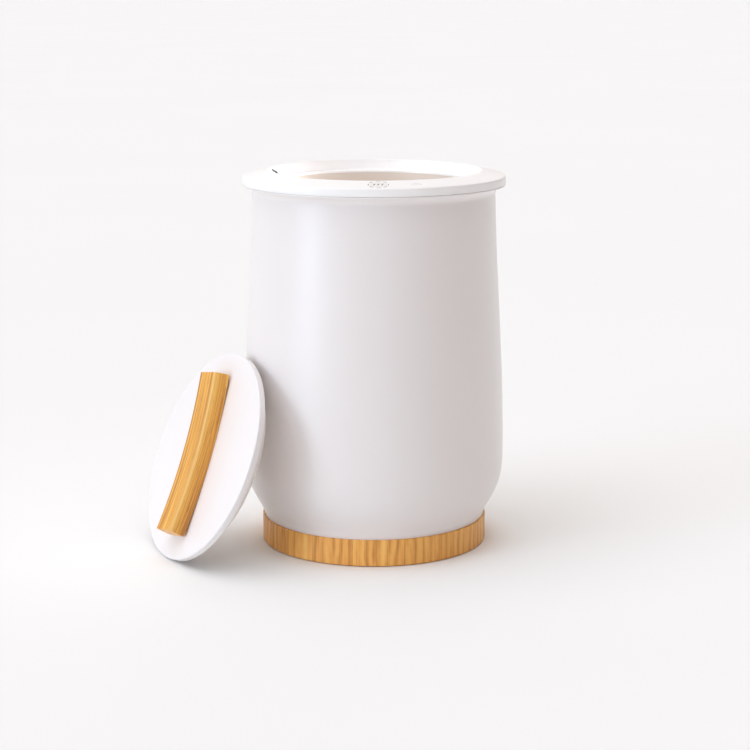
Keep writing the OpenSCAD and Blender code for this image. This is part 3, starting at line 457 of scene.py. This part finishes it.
def shell_radius(z):
    """The shell's outer radius at a height."""
    above = NECK_R + (BELLY_R - NECK_R) * (1 + np.cos(np.pi * (z - BELLY_Z) / TAPER_RUN)) / 2
    drop = np.clip((BELLY_Z - z) / (BELLY_Z - FOOT_TOP_Z), 0, 1)
    below = SHELL_FOOT_R + (BELLY_R - SHELL_FOOT_R) * (1 - drop ** FOOT_SWELL) ** FOOT_FLARE
    return np.where(z >= BELLY_Z, above, below)


def build_shell():
    """The outline of shell_radius up to a concave quarter circle and a flange with a rounded lip, then the
    same outline less the wall on the way down, spun round."""
    floor_t = 3 * MM
    fillet_z = SHELL_TOP_Z - FLANGE_LIP - NECK_FILLET
    low = np.linspace(FOOT_TOP_Z, BELLY_Z, 60)
    high = np.linspace(BELLY_Z, fillet_z, 90)[1:]
    z = np.concatenate([low, high])
    wall = np.stack([shell_radius(z), z], -1)
    centre_r = wall[-1, 0] + NECK_FILLET
    lip = 0.4 * MM
    profile = chain(
        [SHELL_FOOT_R - SHELL_FLANGE, FOOT_TOP_Z], wall,
        arc(centre_r, fillet_z, NECK_FILLET, 180, 90, 16)[1:],
        arc(RIM_R - lip, SHELL_TOP_Z - FLANGE_LIP + lip, lip, 270, 360, 4),
        arc(RIM_R - lip, SHELL_TOP_Z - lip, lip, 0, 90, 4),
        arc(centre_r, fillet_z, NECK_FILLET + SHELL_WALL, 110, 180, 8),
        wall[::-6] - [SHELL_WALL, 0], [SHELL_FOOT_R - SHELL_FLANGE, FOOT_TOP_Z + floor_t])
    shell = turned("shell_skin", profile, SHELL_WHITE, "bucket")
    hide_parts("outer_shell")


# Foot ring: a bamboo hoop with shallow flutes worked into its outer face

def build_foot_ring():
    """A ring whose outer face is cut in by half the flutes' depth times 1 - cos(flutes times bearing + a slow
    sway), so that they wander a little. The timber's fibres run upright."""
    flute_count = 78
    flute_depth = 0.35 * MM
    columns_per_flute = 16
    sway_gain = 2.2
    lean = 0.9
    edge = 1 * MM
    side = np.linspace(FOOT_LOW_Z + edge, FOOT_TOP_Z - edge, 24)[1:-1]
    profile = chain(
        [FOOT_IN_R, FOOT_LOW_Z], arc(FOOT_R - edge, FOOT_LOW_Z + edge, edge, 270, 360, 6),
        np.stack([np.full(len(side), FOOT_R), side], -1),
        arc(FOOT_R - edge, FOOT_TOP_Z - edge, edge, 0, 90, 6), [FOOT_IN_R, FOOT_TOP_Z])
    count = flute_count * columns_per_flute
    bearings = np.linspace(0, TURN, count, endpoint=False)
    points = spin(profile, bearings)
    rise = (profile[:, 1:] - FOOT_LOW_Z) / (FOOT_TOP_Z - FOOT_LOW_Z)
    outer = np.clip((profile[:, :1] - FOOT_R + edge) / edge, 0, 1)
    sway = 0.35 * np.sin(3 * bearings) + 0.5 * np.sin(7 * bearings + 2 * rise) + 0.25 * np.sin(11 * bearings)
    wave = (1 - np.cos(flute_count * bearings[None] + sway * sway_gain + lean * rise)) / 2
    dip = flute_depth * outer * wave
    points[..., :2] *= (1 - dip / profile[:, :1])[..., None]
    depth = profile[:, :1] + 0 * bearings[None]
    grain = np.stack([profile[:, 1:] + 0 * bearings[None], FOOT_R * bearings[None] + 0 * depth, depth], -1)
    quads = grid_quads(len(profile), count, True, True)
    ring = new_piece("foot_hoop", points, quads, FOOT_BAMBOO, "bucket", grain)
    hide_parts("bamboo_base_ring")


# Top ring: the sloping band is a cone that touches the crest and the rim

BAND_IN_R = SEAT_R + CREST_ROUND * (1 + np.sin(BAND_SLOPE))
BAND_IN_Z = TOP_Z - CREST_ROUND + CREST_ROUND * np.cos(BAND_SLOPE)
RIM_CENTRE_R = RIM_R - RIM_ROUND
BAND_OUT_R = RIM_CENTRE_R + RIM_ROUND * np.sin(BAND_SLOPE)
BAND_MID_R = (BAND_IN_R + BAND_OUT_R) / 2


def band_height(r):
    """The band's height at a radius."""
    return BAND_IN_Z - (r - BAND_IN_R) * np.tan(BAND_SLOPE)


def band_place(turn):
    """Frame on the band: x to the right, y up the slope to the crest, z out of the surface."""
    spin_z = np.array(Matrix.Rotation(turn, 4, "Z"))
    tip = np.array(Matrix.Rotation(BAND_SLOPE, 4, "X"))
    shift = np.array(Matrix.Translation((0, -BAND_MID_R, band_height(BAND_MID_R))))
    return spin_z @ shift @ tip


def on_band(turn, flat, height=0.0):
    """Points (x, y) of the band's own frame, dropped on the cone and lifted by a height."""
    points = placed(np.concatenate([flat, np.zeros((*flat.shape[:-1], 1))], -1), band_place(turn))
    points[..., 2] = band_height(np.hypot(points[..., 0], points[..., 1])) + height
    return points


def circle_reach(radius):
    """Distance from the middle of a circle to its edge: its radius, at any angle."""
    return lambda a: np.full_like(a, radius)


def lens_reach(grow):
    """Distance from the middle of the rounded triangle to its edge, at an angle."""
    half, low, high = LENS_W / 2 - LENS_ROUND, -LENS_L / 2 + LENS_ROUND, LENS_L / 2 - LENS_ROUND
    side = np.degrees(np.arctan2(high - low, half))
    r = LENS_ROUND + grow
    edge = chain(arc(half, low, r, -90, 90 - side, 12), arc(0, high, r, 90 - side, 90 + side, 12),
                 arc(-half, low, r, 90 + side, 270, 12))
    edge = np.concatenate([edge, edge[:1]])
    steps = np.linspace(0, 1, 9)[:-1, None]
    dense = (edge[:-1, None] * (1 - steps) + edge[1:, None] * steps).reshape(-1, 2)
    bearing = np.arctan2(dense[:, 1], dense[:, 0])
    order = np.argsort(bearing)
    reach = np.hypot(*dense.T)
    return lambda a: np.interp(a, bearing[order], reach[order], period=TURN)


def band_patch(turn, border, reach, depth):
    """Points from a border on the band in to a hole and down its wall. Each column keeps its angle about the
    hole's middle."""
    local = placed(border, np.linalg.inv(band_place(turn)))[:, :2]
    angle = np.arctan2(local[:, 1], local[:, 0])
    hole = reach(angle)[:, None] * np.stack([np.cos(angle), np.sin(angle)], -1)
    t = np.linspace(0, 1, 9)[:, None, None]
    flat = on_band(turn, local[None] * (1 - t) + hole[None] * t)
    flat[0] = border
    inward = -band_place(turn)[:3, 2]
    edge = 0.25 * MM
    roll_down, roll_in = 0.3, 0.7
    rolled = on_band(turn, hole * (1 - edge / np.linalg.norm(hole, axis=1, keepdims=True))) + inward * edge
    walls = [flat[-1] + inward * edge * roll_down + (rolled - flat[-1] - inward * edge) * roll_in, rolled,
             rolled + inward * depth]
    return np.concatenate([flat, np.stack(walls)])


def ring_profile():
    """The closed profile, and the numbers of the first and last points of the band and the slot's field."""
    rim_z = band_height(RIM_CENTRE_R) - RIM_ROUND / np.cos(BAND_SLOPE)
    slope = np.degrees(BAND_SLOPE)
    rim = arc(RIM_CENTRE_R, rim_z, RIM_ROUND, 0, 90 - slope, 12)
    crest = arc(SEAT_R + CREST_ROUND, TOP_Z - CREST_ROUND, CREST_ROUND, 90 - slope, 180, 12)
    across = np.linspace(0, 1, 13)[1:-1, None]
    band = rim[-1] * (1 - across) + crest[0] * across
    wall_z = (LEDGE_Z + crest[-1, 1]) / 2 + SLOT_FIELD[1] / 2 * np.array([1, 0, -1])
    wall = np.stack([np.full(3, SEAT_R), wall_z], -1)
    low_edge = 0.3 * MM
    corner = 0.6 * MM
    start = arc(RIM_R - low_edge, JOINT_Z + low_edge, low_edge, 270, 360, 4)
    ledge = arc(SEAT_R - corner, LEDGE_Z + corner, corner, 360, 270, 6)
    mouth = arc(MOUTH_R + MOUTH_ROUND, LEDGE_Z - MOUTH_ROUND, MOUTH_ROUND, 90, 180, 6)
    back_r, inner_r = SEAT_R + RING_WALL, RIM_R - RING_WALL
    drop = RING_WALL / np.cos(BAND_SLOPE)
    under = [[MOUTH_R, LEDGE_UNDER_Z], [back_r, LEDGE_UNDER_Z], [back_r, band_height(back_r) - drop],
             [inner_r, band_height(inner_r) - drop], [inner_r, JOINT_Z]]
    profile = chain(start, rim, band, crest, wall, ledge, mouth, under)
    band_first = len(start) + len(rim) - 1
    wall_first = len(start) + len(rim) + len(band) + len(crest)
    return profile, band_first, band_first + len(band) + 1, wall_first, wall_first + 2


def slot_patch(border):
    """Points from the border of a field on the seat's wall in to a slanted slot and through the wall. The
    field's corners go to the slot's corners: (u, v) runs from -1 to 1 along each side of both. The slot
    narrows to its ends with the square root of 1 - end_taper times u to the end_power."""
    middle = np.array([SEAT_R * np.cos(SLOT_BEARING), SEAT_R * np.sin(SLOT_BEARING)])
    round_seat = SEAT_R * (np.arctan2(border[:, 1], border[:, 0]) - np.arctan2(middle[1], middle[0]))
    middle_z = border[:, 2].min() / 2 + border[:, 2].max() / 2
    field = np.stack([round_seat, border[:, 2] - middle_z], -1)
    size = abs(field).max(0)
    u, v = (field / size).T
    c, s = np.cos(SLOT_SLANT), np.sin(SLOT_SLANT)
    end_taper, end_power = 0.6, 8
    lip_share = 1.06
    long_way = u * SLOT_L / 2
    cross_way = v * SLOT_W / 2 * np.sqrt(1 - end_taper * u ** end_power)
    slot = np.stack([long_way * c - cross_way * s, long_way * s + cross_way * c], -1)

    def on_wall(flat, depth):
        bearing = SLOT_BEARING + flat[:, 0] / SEAT_R
        radius = SEAT_R + depth
        return np.stack([radius * np.cos(bearing), radius * np.sin(bearing), middle_z + flat[:, 1]], -1)

    edge = 0.3 * MM
    rows = [border] + [on_wall(field * (1 - t) + slot * lip_share * t, 0.0) for t in (0.33, 0.66, 1.0)]
    return np.stack(rows + [on_wall(slot, edge), on_wall(slot, RING_WALL)])


def border_of(points, row0, row1, column0, column1):
    """The points round a block of a grid, running up the columns first."""
    first = points[row0, column0:column1]
    right = points[row0:row1, column1]
    last = points[row1, column1:column0:-1]
    left = points[row1:row0:-1, column0]
    return np.concatenate([first, right, last, left])


def paint_inside_shade(finish):
    """Painted shade on the faces inside the ring's moulding and in its slot, behind the seat's wall."""
    tree = finish.node_tree
    colour = tree.nodes["Principled BSDF"].inputs["Base Color"]
    outside = colour.links[0].from_socket
    x, y, z = add(tree, "SeparateXYZ", {"Vector": object_coords(tree)}).outputs
    r = hypot(tree, x, y)
    skin = 1.5 * MM
    past_wall = maths(tree, "SUBTRACT", r, SEAT_R + 0.3 * MM)
    before_rim = maths(tree, "SUBTRACT", RIM_R - RING_WALL + 0.1 * MM, r)
    fall = maths(tree, "MULTIPLY", maths(tree, "SUBTRACT", r, BAND_IN_R), np.tan(BAND_SLOPE))
    below_band = maths(tree, "SUBTRACT", maths(tree, "SUBTRACT", BAND_IN_Z - skin, fall), z)
    depth = maths(tree, "MINIMUM", maths(tree, "MINIMUM", past_wall, before_rim), below_band)
    # Painted shade: deeper in, the colour goes over to a dark grey, where little light reaches.
    inside = remap(tree, depth, 0.0, HOLLOW_SHADE_FADE, 0.0, 1.0)
    tree.links.new(blend(tree, inside, outside, HOLLOW_SHADE_COLOUR), colour)


def build_top_ring():
    """The ring's profile spun round, less three blocks of its grid, which patches with holes fill."""
    profile, band0, band1, wall0, wall1 = ring_profile()
    front = 1.5 * np.pi
    key_half = np.radians(6.5)
    lens_half = np.radians(5)
    slot_half = SLOT_FIELD[0] / 2 / SEAT_R
    edges = [front + KEY_TURN - key_half, front + KEY_TURN + key_half, front + LENS_TURN - lens_half,
             front + LENS_TURN + lens_half, SLOT_BEARING - slot_half, SLOT_BEARING + slot_half]
    bearings = np.unique(np.concatenate([np.linspace(0, TURN, 480, endpoint=False), edges]))
    column = [int(np.argmin(abs(bearings - edge))) for edge in edges]
    points = spin(profile, bearings)
    keep = np.ones((len(profile), len(bearings)), bool)
    keep[band0:band1, column[0]:column[1]] = False
    keep[band0:band1, column[2]:column[3]] = False
    keep[wall0:wall1, column[4]:column[5]] = False
    quads = grid_quads(len(profile), len(bearings), True, True)[keep]
    blocks = [points.reshape(-1, 3)]
    faces = [quads]
    hole_depth = 2.4 * MM
    key_border = border_of(points, band0, band1, column[0], column[1])
    key = band_patch(KEY_TURN, key_border, circle_reach(KEY_HOLE_R), hole_depth)
    lens_border = border_of(points, band0, band1, column[2], column[3])
    lens = band_patch(LENS_TURN, lens_border, lens_reach(LENS_FIT), hole_depth)
    slot = slot_patch(border_of(points, wall0, wall1, column[4], column[5]))
    for block in (key, lens, slot):
        faces.append(grid_quads(*block.shape[:2], False, True).reshape(-1, 4) + sum(map(len, blocks)))
        blocks.append(block.reshape(-1, 3))
    # Painted shade on the faces inside the ring's moulding and in its slot.
    paint_inside_shade(RING_WHITE)
    ring = new_piece("collar", np.concatenate(blocks), np.concatenate(faces), RING_WHITE, "bucket")
    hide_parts("top_ring")


# Key: a round cap in the band, with three heat marks on it and a ring of dashes round it

def stroke(path, width, to_place):
    """A flat printed line along a path of (x, y) points, with a thin edge. Near each end its width falls with
    the square root of 1 - t to the fourth. to_place lifts (x, y) points by a height into the model."""
    step = np.gradient(path, axis=0)
    normal = np.stack([-step[:, 1], step[:, 0]], -1) / np.linalg.norm(step, axis=1, keepdims=True)
    end_share = 0.12
    to_end = np.clip(abs(np.linspace(-0.5, 0.5, len(path))) - 0.5 + end_share, 0, end_share) / end_share
    taper = np.sqrt(np.clip(1 - to_end ** 4, 0.02, 1))
    half = (width / 2 * taper)[:, None] * normal
    top, under = 0.03 * MM, -0.04 * MM
    loops = [to_place(path - half, under), to_place(path - half, top), to_place(path + half, top),
             to_place(path + half, under)]
    points = np.stack(loops, 1)
    quads = grid_quads(len(path), 4, False, True).reshape(-1, 4)
    last = (len(path) - 1) * 4
    caps = np.array([[3, 2, 1, 0], [last, last + 1, last + 2, last + 3]])
    return points.reshape(-1, 3), np.concatenate([quads, caps])


def print_strokes(name, strokes, body, slot, *replaced):
    """Several strokes in one piece."""
    blocks, faces, count = [], [], 0
    for points, quads in strokes:
        blocks.append(points)
        faces.append(quads + count)
        count += len(points)
    piece = new_piece(name, np.concatenate(blocks), np.concatenate(faces), INK, body)
    if replaced:
        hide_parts(*replaced)


def build_key():
    """The cap, three wavy strokes that move with it, and a ring of dashes on the band."""
    place = band_place(KEY_TURN)
    edge = 0.4 * MM
    skirt = 3 * MM
    profile = chain([0, -skirt], [KEY_R, -skirt], arc(KEY_R - edge, -KEY_SINK - edge, edge, 0, 90, 6),
                    [KEY_R * 0.5, -KEY_SINK], [0, -KEY_SINK])
    cap = turned("key_cap", profile, KEY_WHITE, "key", place, 120)
    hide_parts("power_button")

    def on_key(flat, height):
        lifted = np.concatenate([flat, np.full((len(flat), 1), height - KEY_SINK)], -1)
        return placed(lifted, place)

    t = np.linspace(-1, 1, 25)
    mark_h = 5.5 * MM
    mark_w = 1.4 * MM
    mark_pitch = 5.2 * MM
    mark_sway = 0.8 * MM
    marks = [stroke(np.stack([x + mark_sway * np.sin(np.pi * t), mark_h / 2 * t], -1), mark_w, on_key)
             for x in (-mark_pitch, 0, mark_pitch)]
    print_strokes("heat_marks", marks, "key", "icon_print")

    def on_ring(flat, height):
        return on_band(KEY_TURN, flat, height)

    dashes = []
    for middle in np.arange(DASH_COUNT) * TURN / DASH_COUNT:
        a = np.linspace(middle - DASH_TURN / 2, middle + DASH_TURN / 2, 13)
        dashes.append(stroke(DASH_R * np.stack([np.cos(a), np.sin(a)], -1), DASH_W, on_ring))
    print_strokes("dash_ring", dashes, "bucket", "icon_print", "icon_ring")


# Drum: a deep cup with a rolled corner and a flange under the ledge

def build_drum():
    """A flat floor, a quarter circle to an upright wall and a flat flange, in one thickness, spun round."""
    out_r = DRUM_R + DRUM_WALL
    floor_z = DRUM_LOW_Z + DRUM_WALL
    corner_r = DRUM_R - DRUM_CORNER
    flange_z = DRUM_TOP_Z - DRUM_WALL
    profile = chain(
        [0, DRUM_LOW_Z], arc(corner_r, floor_z + DRUM_CORNER, DRUM_CORNER + DRUM_WALL, 270, 360, 12),
        [out_r, flange_z], [out_r + DRUM_FLANGE, flange_z], [out_r + DRUM_FLANGE, DRUM_TOP_Z],
        [DRUM_R, DRUM_TOP_Z], arc(corner_r, floor_z + DRUM_CORNER, DRUM_CORNER, 360, 270, 12),
        [corner_r * 0.5, floor_z], [0, floor_z])
    drum = turned("drum_cup", profile, DRUM_METAL, "bucket")
    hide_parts("inner_drum")


# Lid, in a frame with z out of its face, x towards the floor and the face's rim in z = 0

def lid_place():
    """The lid's frame as a 4 by 4 matrix, from its joint's axis and its node's box."""
    normal = np.array(next(joint["axis"] for joint in frame["joints"] if joint["child"] == "lid"))
    normal /= np.linalg.norm(normal)
    low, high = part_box("lid_top")
    centre = (np.array(low) + np.array(high)) / 2 + normal * LID_RIM / 2
    level = np.cross([0, 0, 1], normal)
    level /= np.linalg.norm(level)
    place = np.eye(4)
    place[:3, 0] = np.cross(level, normal)
    place[:3, 1] = level
    place[:3, 2] = normal
    place[:3, 3] = centre
    return place


def build_lid():
    """The face is a dish: its depth falls as (1 - (r / dish radius) squared) squared."""
    r = np.linspace(0, LID_DISH_R, 40)
    dish = np.stack([r, -LID_DISH * (1 - (r / LID_DISH_R) ** 2) ** 2], -1)
    inner_r = LID_R - LID_WALL
    corner = 1 * MM
    profile = chain(
        dish - [0, LID_WALL], [inner_r - corner, -LID_WALL], [inner_r, -LID_WALL - corner],
        [inner_r, -LID_RIM],
        arc(LID_R - LID_ROUND, -LID_RIM + LID_ROUND, LID_ROUND, -90, 0, 8),
        arc(LID_R - LID_ROUND, -LID_ROUND, LID_ROUND, 0, 90, 8), dish[::-1])
    lid = turned("lid_face", profile, LID_WHITE, "lid", lid_place())
    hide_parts("lid_top")


def handle_section(inset):
    """The bar's section, (across, up) from the middle of its underside, with its corners rounded."""
    least_r = 0.2 * MM
    half, low, high = HANDLE_W / 2 - inset, inset, HANDLE_T - inset
    r1, r2 = max(HANDLE_LOW_EDGE - inset, least_r), max(HANDLE_TOP_EDGE - inset, least_r)
    side = np.linspace(0, 1, 10)[1:-1, None]
    corners = [arc(half - r1, low + r1, r1, 270, 360, 6), arc(half - r2, high - r2, r2, 0, 90, 6),
               arc(-half + r2, high - r2, r2, 90, 180, 6), arc(-half + r1, low + r1, r1, 180, 270, 6)]
    runs = []
    for k, corner in enumerate(corners):
        after = corners[(k + 1) % 4]
        runs += [corner, corner[-1] * (1 - side) + after[0] * side]
    return np.concatenate(runs)


def build_handle():
    """A rounded section carried along a circle's arc. Station s lies at the angle s / radius of the bend."""
    bend_r = ((HANDLE_L / 2) ** 2 + HANDLE_SAG ** 2) / (2 * HANDLE_SAG)
    half_s = bend_r * np.arcsin(HANDLE_L / 2 / bend_r)
    under = -LID_DISH + 0.3 * MM
    edge = HANDLE_END_EDGE
    cap_rings = 8
    roll = np.radians(np.linspace(0, 90, 6))
    ends_s = half_s - edge + edge * np.sin(roll)
    ends_inset = edge * (1 - np.cos(roll))
    run_s = np.linspace(-half_s + edge, half_s - edge, 90)[1:-1]
    s = np.concatenate([-ends_s[::-1], run_s, ends_s])
    inset = np.concatenate([ends_inset[::-1], np.zeros(len(run_s)), ends_inset])
    section = np.stack([handle_section(value) for value in inset])
    across, up = section[..., 0], section[..., 1]
    a = (s / bend_r)[:, None]
    radius = bend_r - up
    points = np.stack([radius * np.sin(a), across, under + bend_r - radius * np.cos(a)], -1)
    grain = np.stack([s[:, None] + 0 * across, across, up], -1)
    count = section.shape[1]
    quads = grid_quads(len(s), count, False, True).reshape(-1, 4)
    caps, cap_grain, cap_quads = [], [], []
    for row, flip in ((0, True), (len(s) - 1, False)):
        loop = points[row]
        shrink = np.linspace(1, 0.02, cap_rings)[:, None, None]
        rings = loop.mean(0) + (loop - loop.mean(0))[None] * shrink
        ring_grain = grain[row].mean(0) + (grain[row] - grain[row].mean(0))[None] * shrink
        faces = grid_quads(cap_rings, count, False, True).reshape(-1, 4)
        first = (len(s) + len(caps) * cap_rings) * count
        cap_quads.append((faces[:, ::-1] if flip else faces) + first)
        caps.append(rings.reshape(-1, 3))
        cap_grain.append(ring_grain.reshape(-1, 3))
    turn = np.array(Matrix.Rotation(HANDLE_TURN, 4, "Z"))
    every = np.concatenate([points.reshape(-1, 3), *caps])
    every_grain = np.concatenate([grain.reshape(-1, 3), *cap_grain])
    handle = new_piece("handle_bar", placed(every, lid_place() @ turn), np.concatenate([quads, *cap_quads]),
                       HANDLE_BAMBOO, "lid", every_grain)
    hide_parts("lid_handle")


build_shell()
build_foot_ring()
build_top_ring()
build_key()
build_drum()
build_lid()
build_handle()


# Studio

def build_floor():
    """A flat pale disc, so wide that its edge lies above the picture."""
    reach = 80.0
    below = 0.05 * MM
    a = np.linspace(0, TURN, 64, endpoint=False)
    rim = np.stack([reach * np.cos(a), reach * np.sin(a), np.full(len(a), -below)], -1)
    mesh = bpy.data.meshes.new("floor")
    mesh.from_pydata(rim.tolist(), [], [list(range(len(a)))])
    finish, tree, shader = start_finish("pale_floor", roughness=0.9, specular_ior_level=0.1)
    cloud = noise(tree, object_coords(tree), 0.8, 2.0)
    shade = remap(tree, cloud, 0.3, 0.7, 0.985, 1.0)
    tree.links.new(blend(tree, 1.0, (0.95, 0.965, 0.97, 1), shade, "MULTIPLY"), shader.inputs["Base Color"])
    mesh.materials.append(finish)
    floor = bpy.data.objects.new("floor", mesh)
    bpy.context.scene.collection.objects.link(floor)


def add_sun(name, bearing, elevation, strength, spread, colour):
    """A broad soft light from far away, at a bearing from the front, positive to the right, in degrees."""
    light = bpy.data.lights.new(name, "SUN")
    light.energy = strength
    light.angle = np.radians(spread)
    light.color = colour
    sun = bpy.data.objects.new(name, light)
    sun.rotation_euler = (np.radians(90 - elevation), 0, np.radians(bearing))
    bpy.context.scene.collection.objects.link(sun)


def add_mouth_glow():
    """A small soft lamp below the crest, at the left of the mouth, for the light that gathers there."""
    light = bpy.data.lights.new("mouth_glow", "POINT")
    light.energy = 0.16
    light.shadow_soft_size = 8 * MM
    light.color = (0.98, 0.98, 1.0)
    lamp = bpy.data.objects.new("mouth_glow", light)
    lamp.location = (-75 * MM, 25 * MM, LEDGE_Z + 3 * MM)
    bpy.context.scene.collection.objects.link(lamp)


def build_studio():
    """A pale surround that is brighter behind the bucket and dimmer at the right, a wide light above, and at
    the left a high light, a broad softbox and a narrow one that gives the shell its highlight."""
    world = bpy.data.worlds.new("studio")
    world.use_nodes = True
    tree = world.node_tree
    sky = tree.nodes["Background"]
    way = add(tree, "SeparateXYZ", {"Vector": add(tree, "TexCoord").outputs["Generated"]}).outputs
    rear = remap(tree, way["Y"], 0.2, 0.9, 0.0, 1.0)
    behind = maths(tree, "MULTIPLY", rear, remap(tree, way["Z"], 0.0, 0.2, 0.3, 1.0))
    warm = remap(tree, way["X"], -0.6, 0.9, 0.0, 1.0)
    tint = blend(tree, warm, (1.0, 0.86, 0.80, 1), (1.0, 0.76, 0.62, 1))
    surround = blend(tree, behind, tint, (1.0, 0.99, 0.98, 1))
    to_right = remap(tree, way["X"], 0.2, 0.9, 1.0, 0.5)
    level = maths(tree, "MULTIPLY", remap(tree, behind, 0.0, 1.0, 0.29, 1.1), to_right)
    seen = add(tree, "LightPath").outputs["Is Camera Ray"]
    tree.links.new(blend(tree, seen, surround, (1, 1, 1, 1)), sky.inputs["Color"])
    backdrop_level = 0.94
    strength = add(tree, "Mix", {0: seen, 2: level, 3: backdrop_level}, data_type="FLOAT").outputs[0]
    tree.links.new(strength, sky.inputs["Strength"])
    bpy.context.scene.world = world
    add_sun("top_light", -20, 80, 1.5, 70, (0.985, 0.99, 1.0))
    add_sun("left_softbox", -52, 14, 0.54, 50, (0.62, 0.80, 1.0))
    add_sun("left_high", -75, 46, 0.46, 60, (0.94, 0.96, 1.0))
    add_sun("left_strip", -60, 5, 0.76, 20, (0.76, 0.88, 1.0))
    add_mouth_glow()
    bpy.context.scene.view_settings.view_transform = "Standard"


def build_camera():
    """The photograph's view: its distance, height, tilt and focal length come from the rim, foot and lid."""
    camera = bpy.data.cameras.new("camera")
    camera.sensor_width = SENSOR_WIDTH
    camera.lens = FOCAL_PIXELS / PICTURE_PIXELS * SENSOR_WIDTH
    camera.clip_end = 300
    eye = bpy.data.objects.new("camera", camera)
    eye.location = EYE
    eye.rotation_euler = (np.radians(90 - EYE_TILT), 0, 0)
    bpy.context.scene.collection.objects.link(eye)
    bpy.context.scene.camera = eye


build_floor()
build_studio()
build_camera()
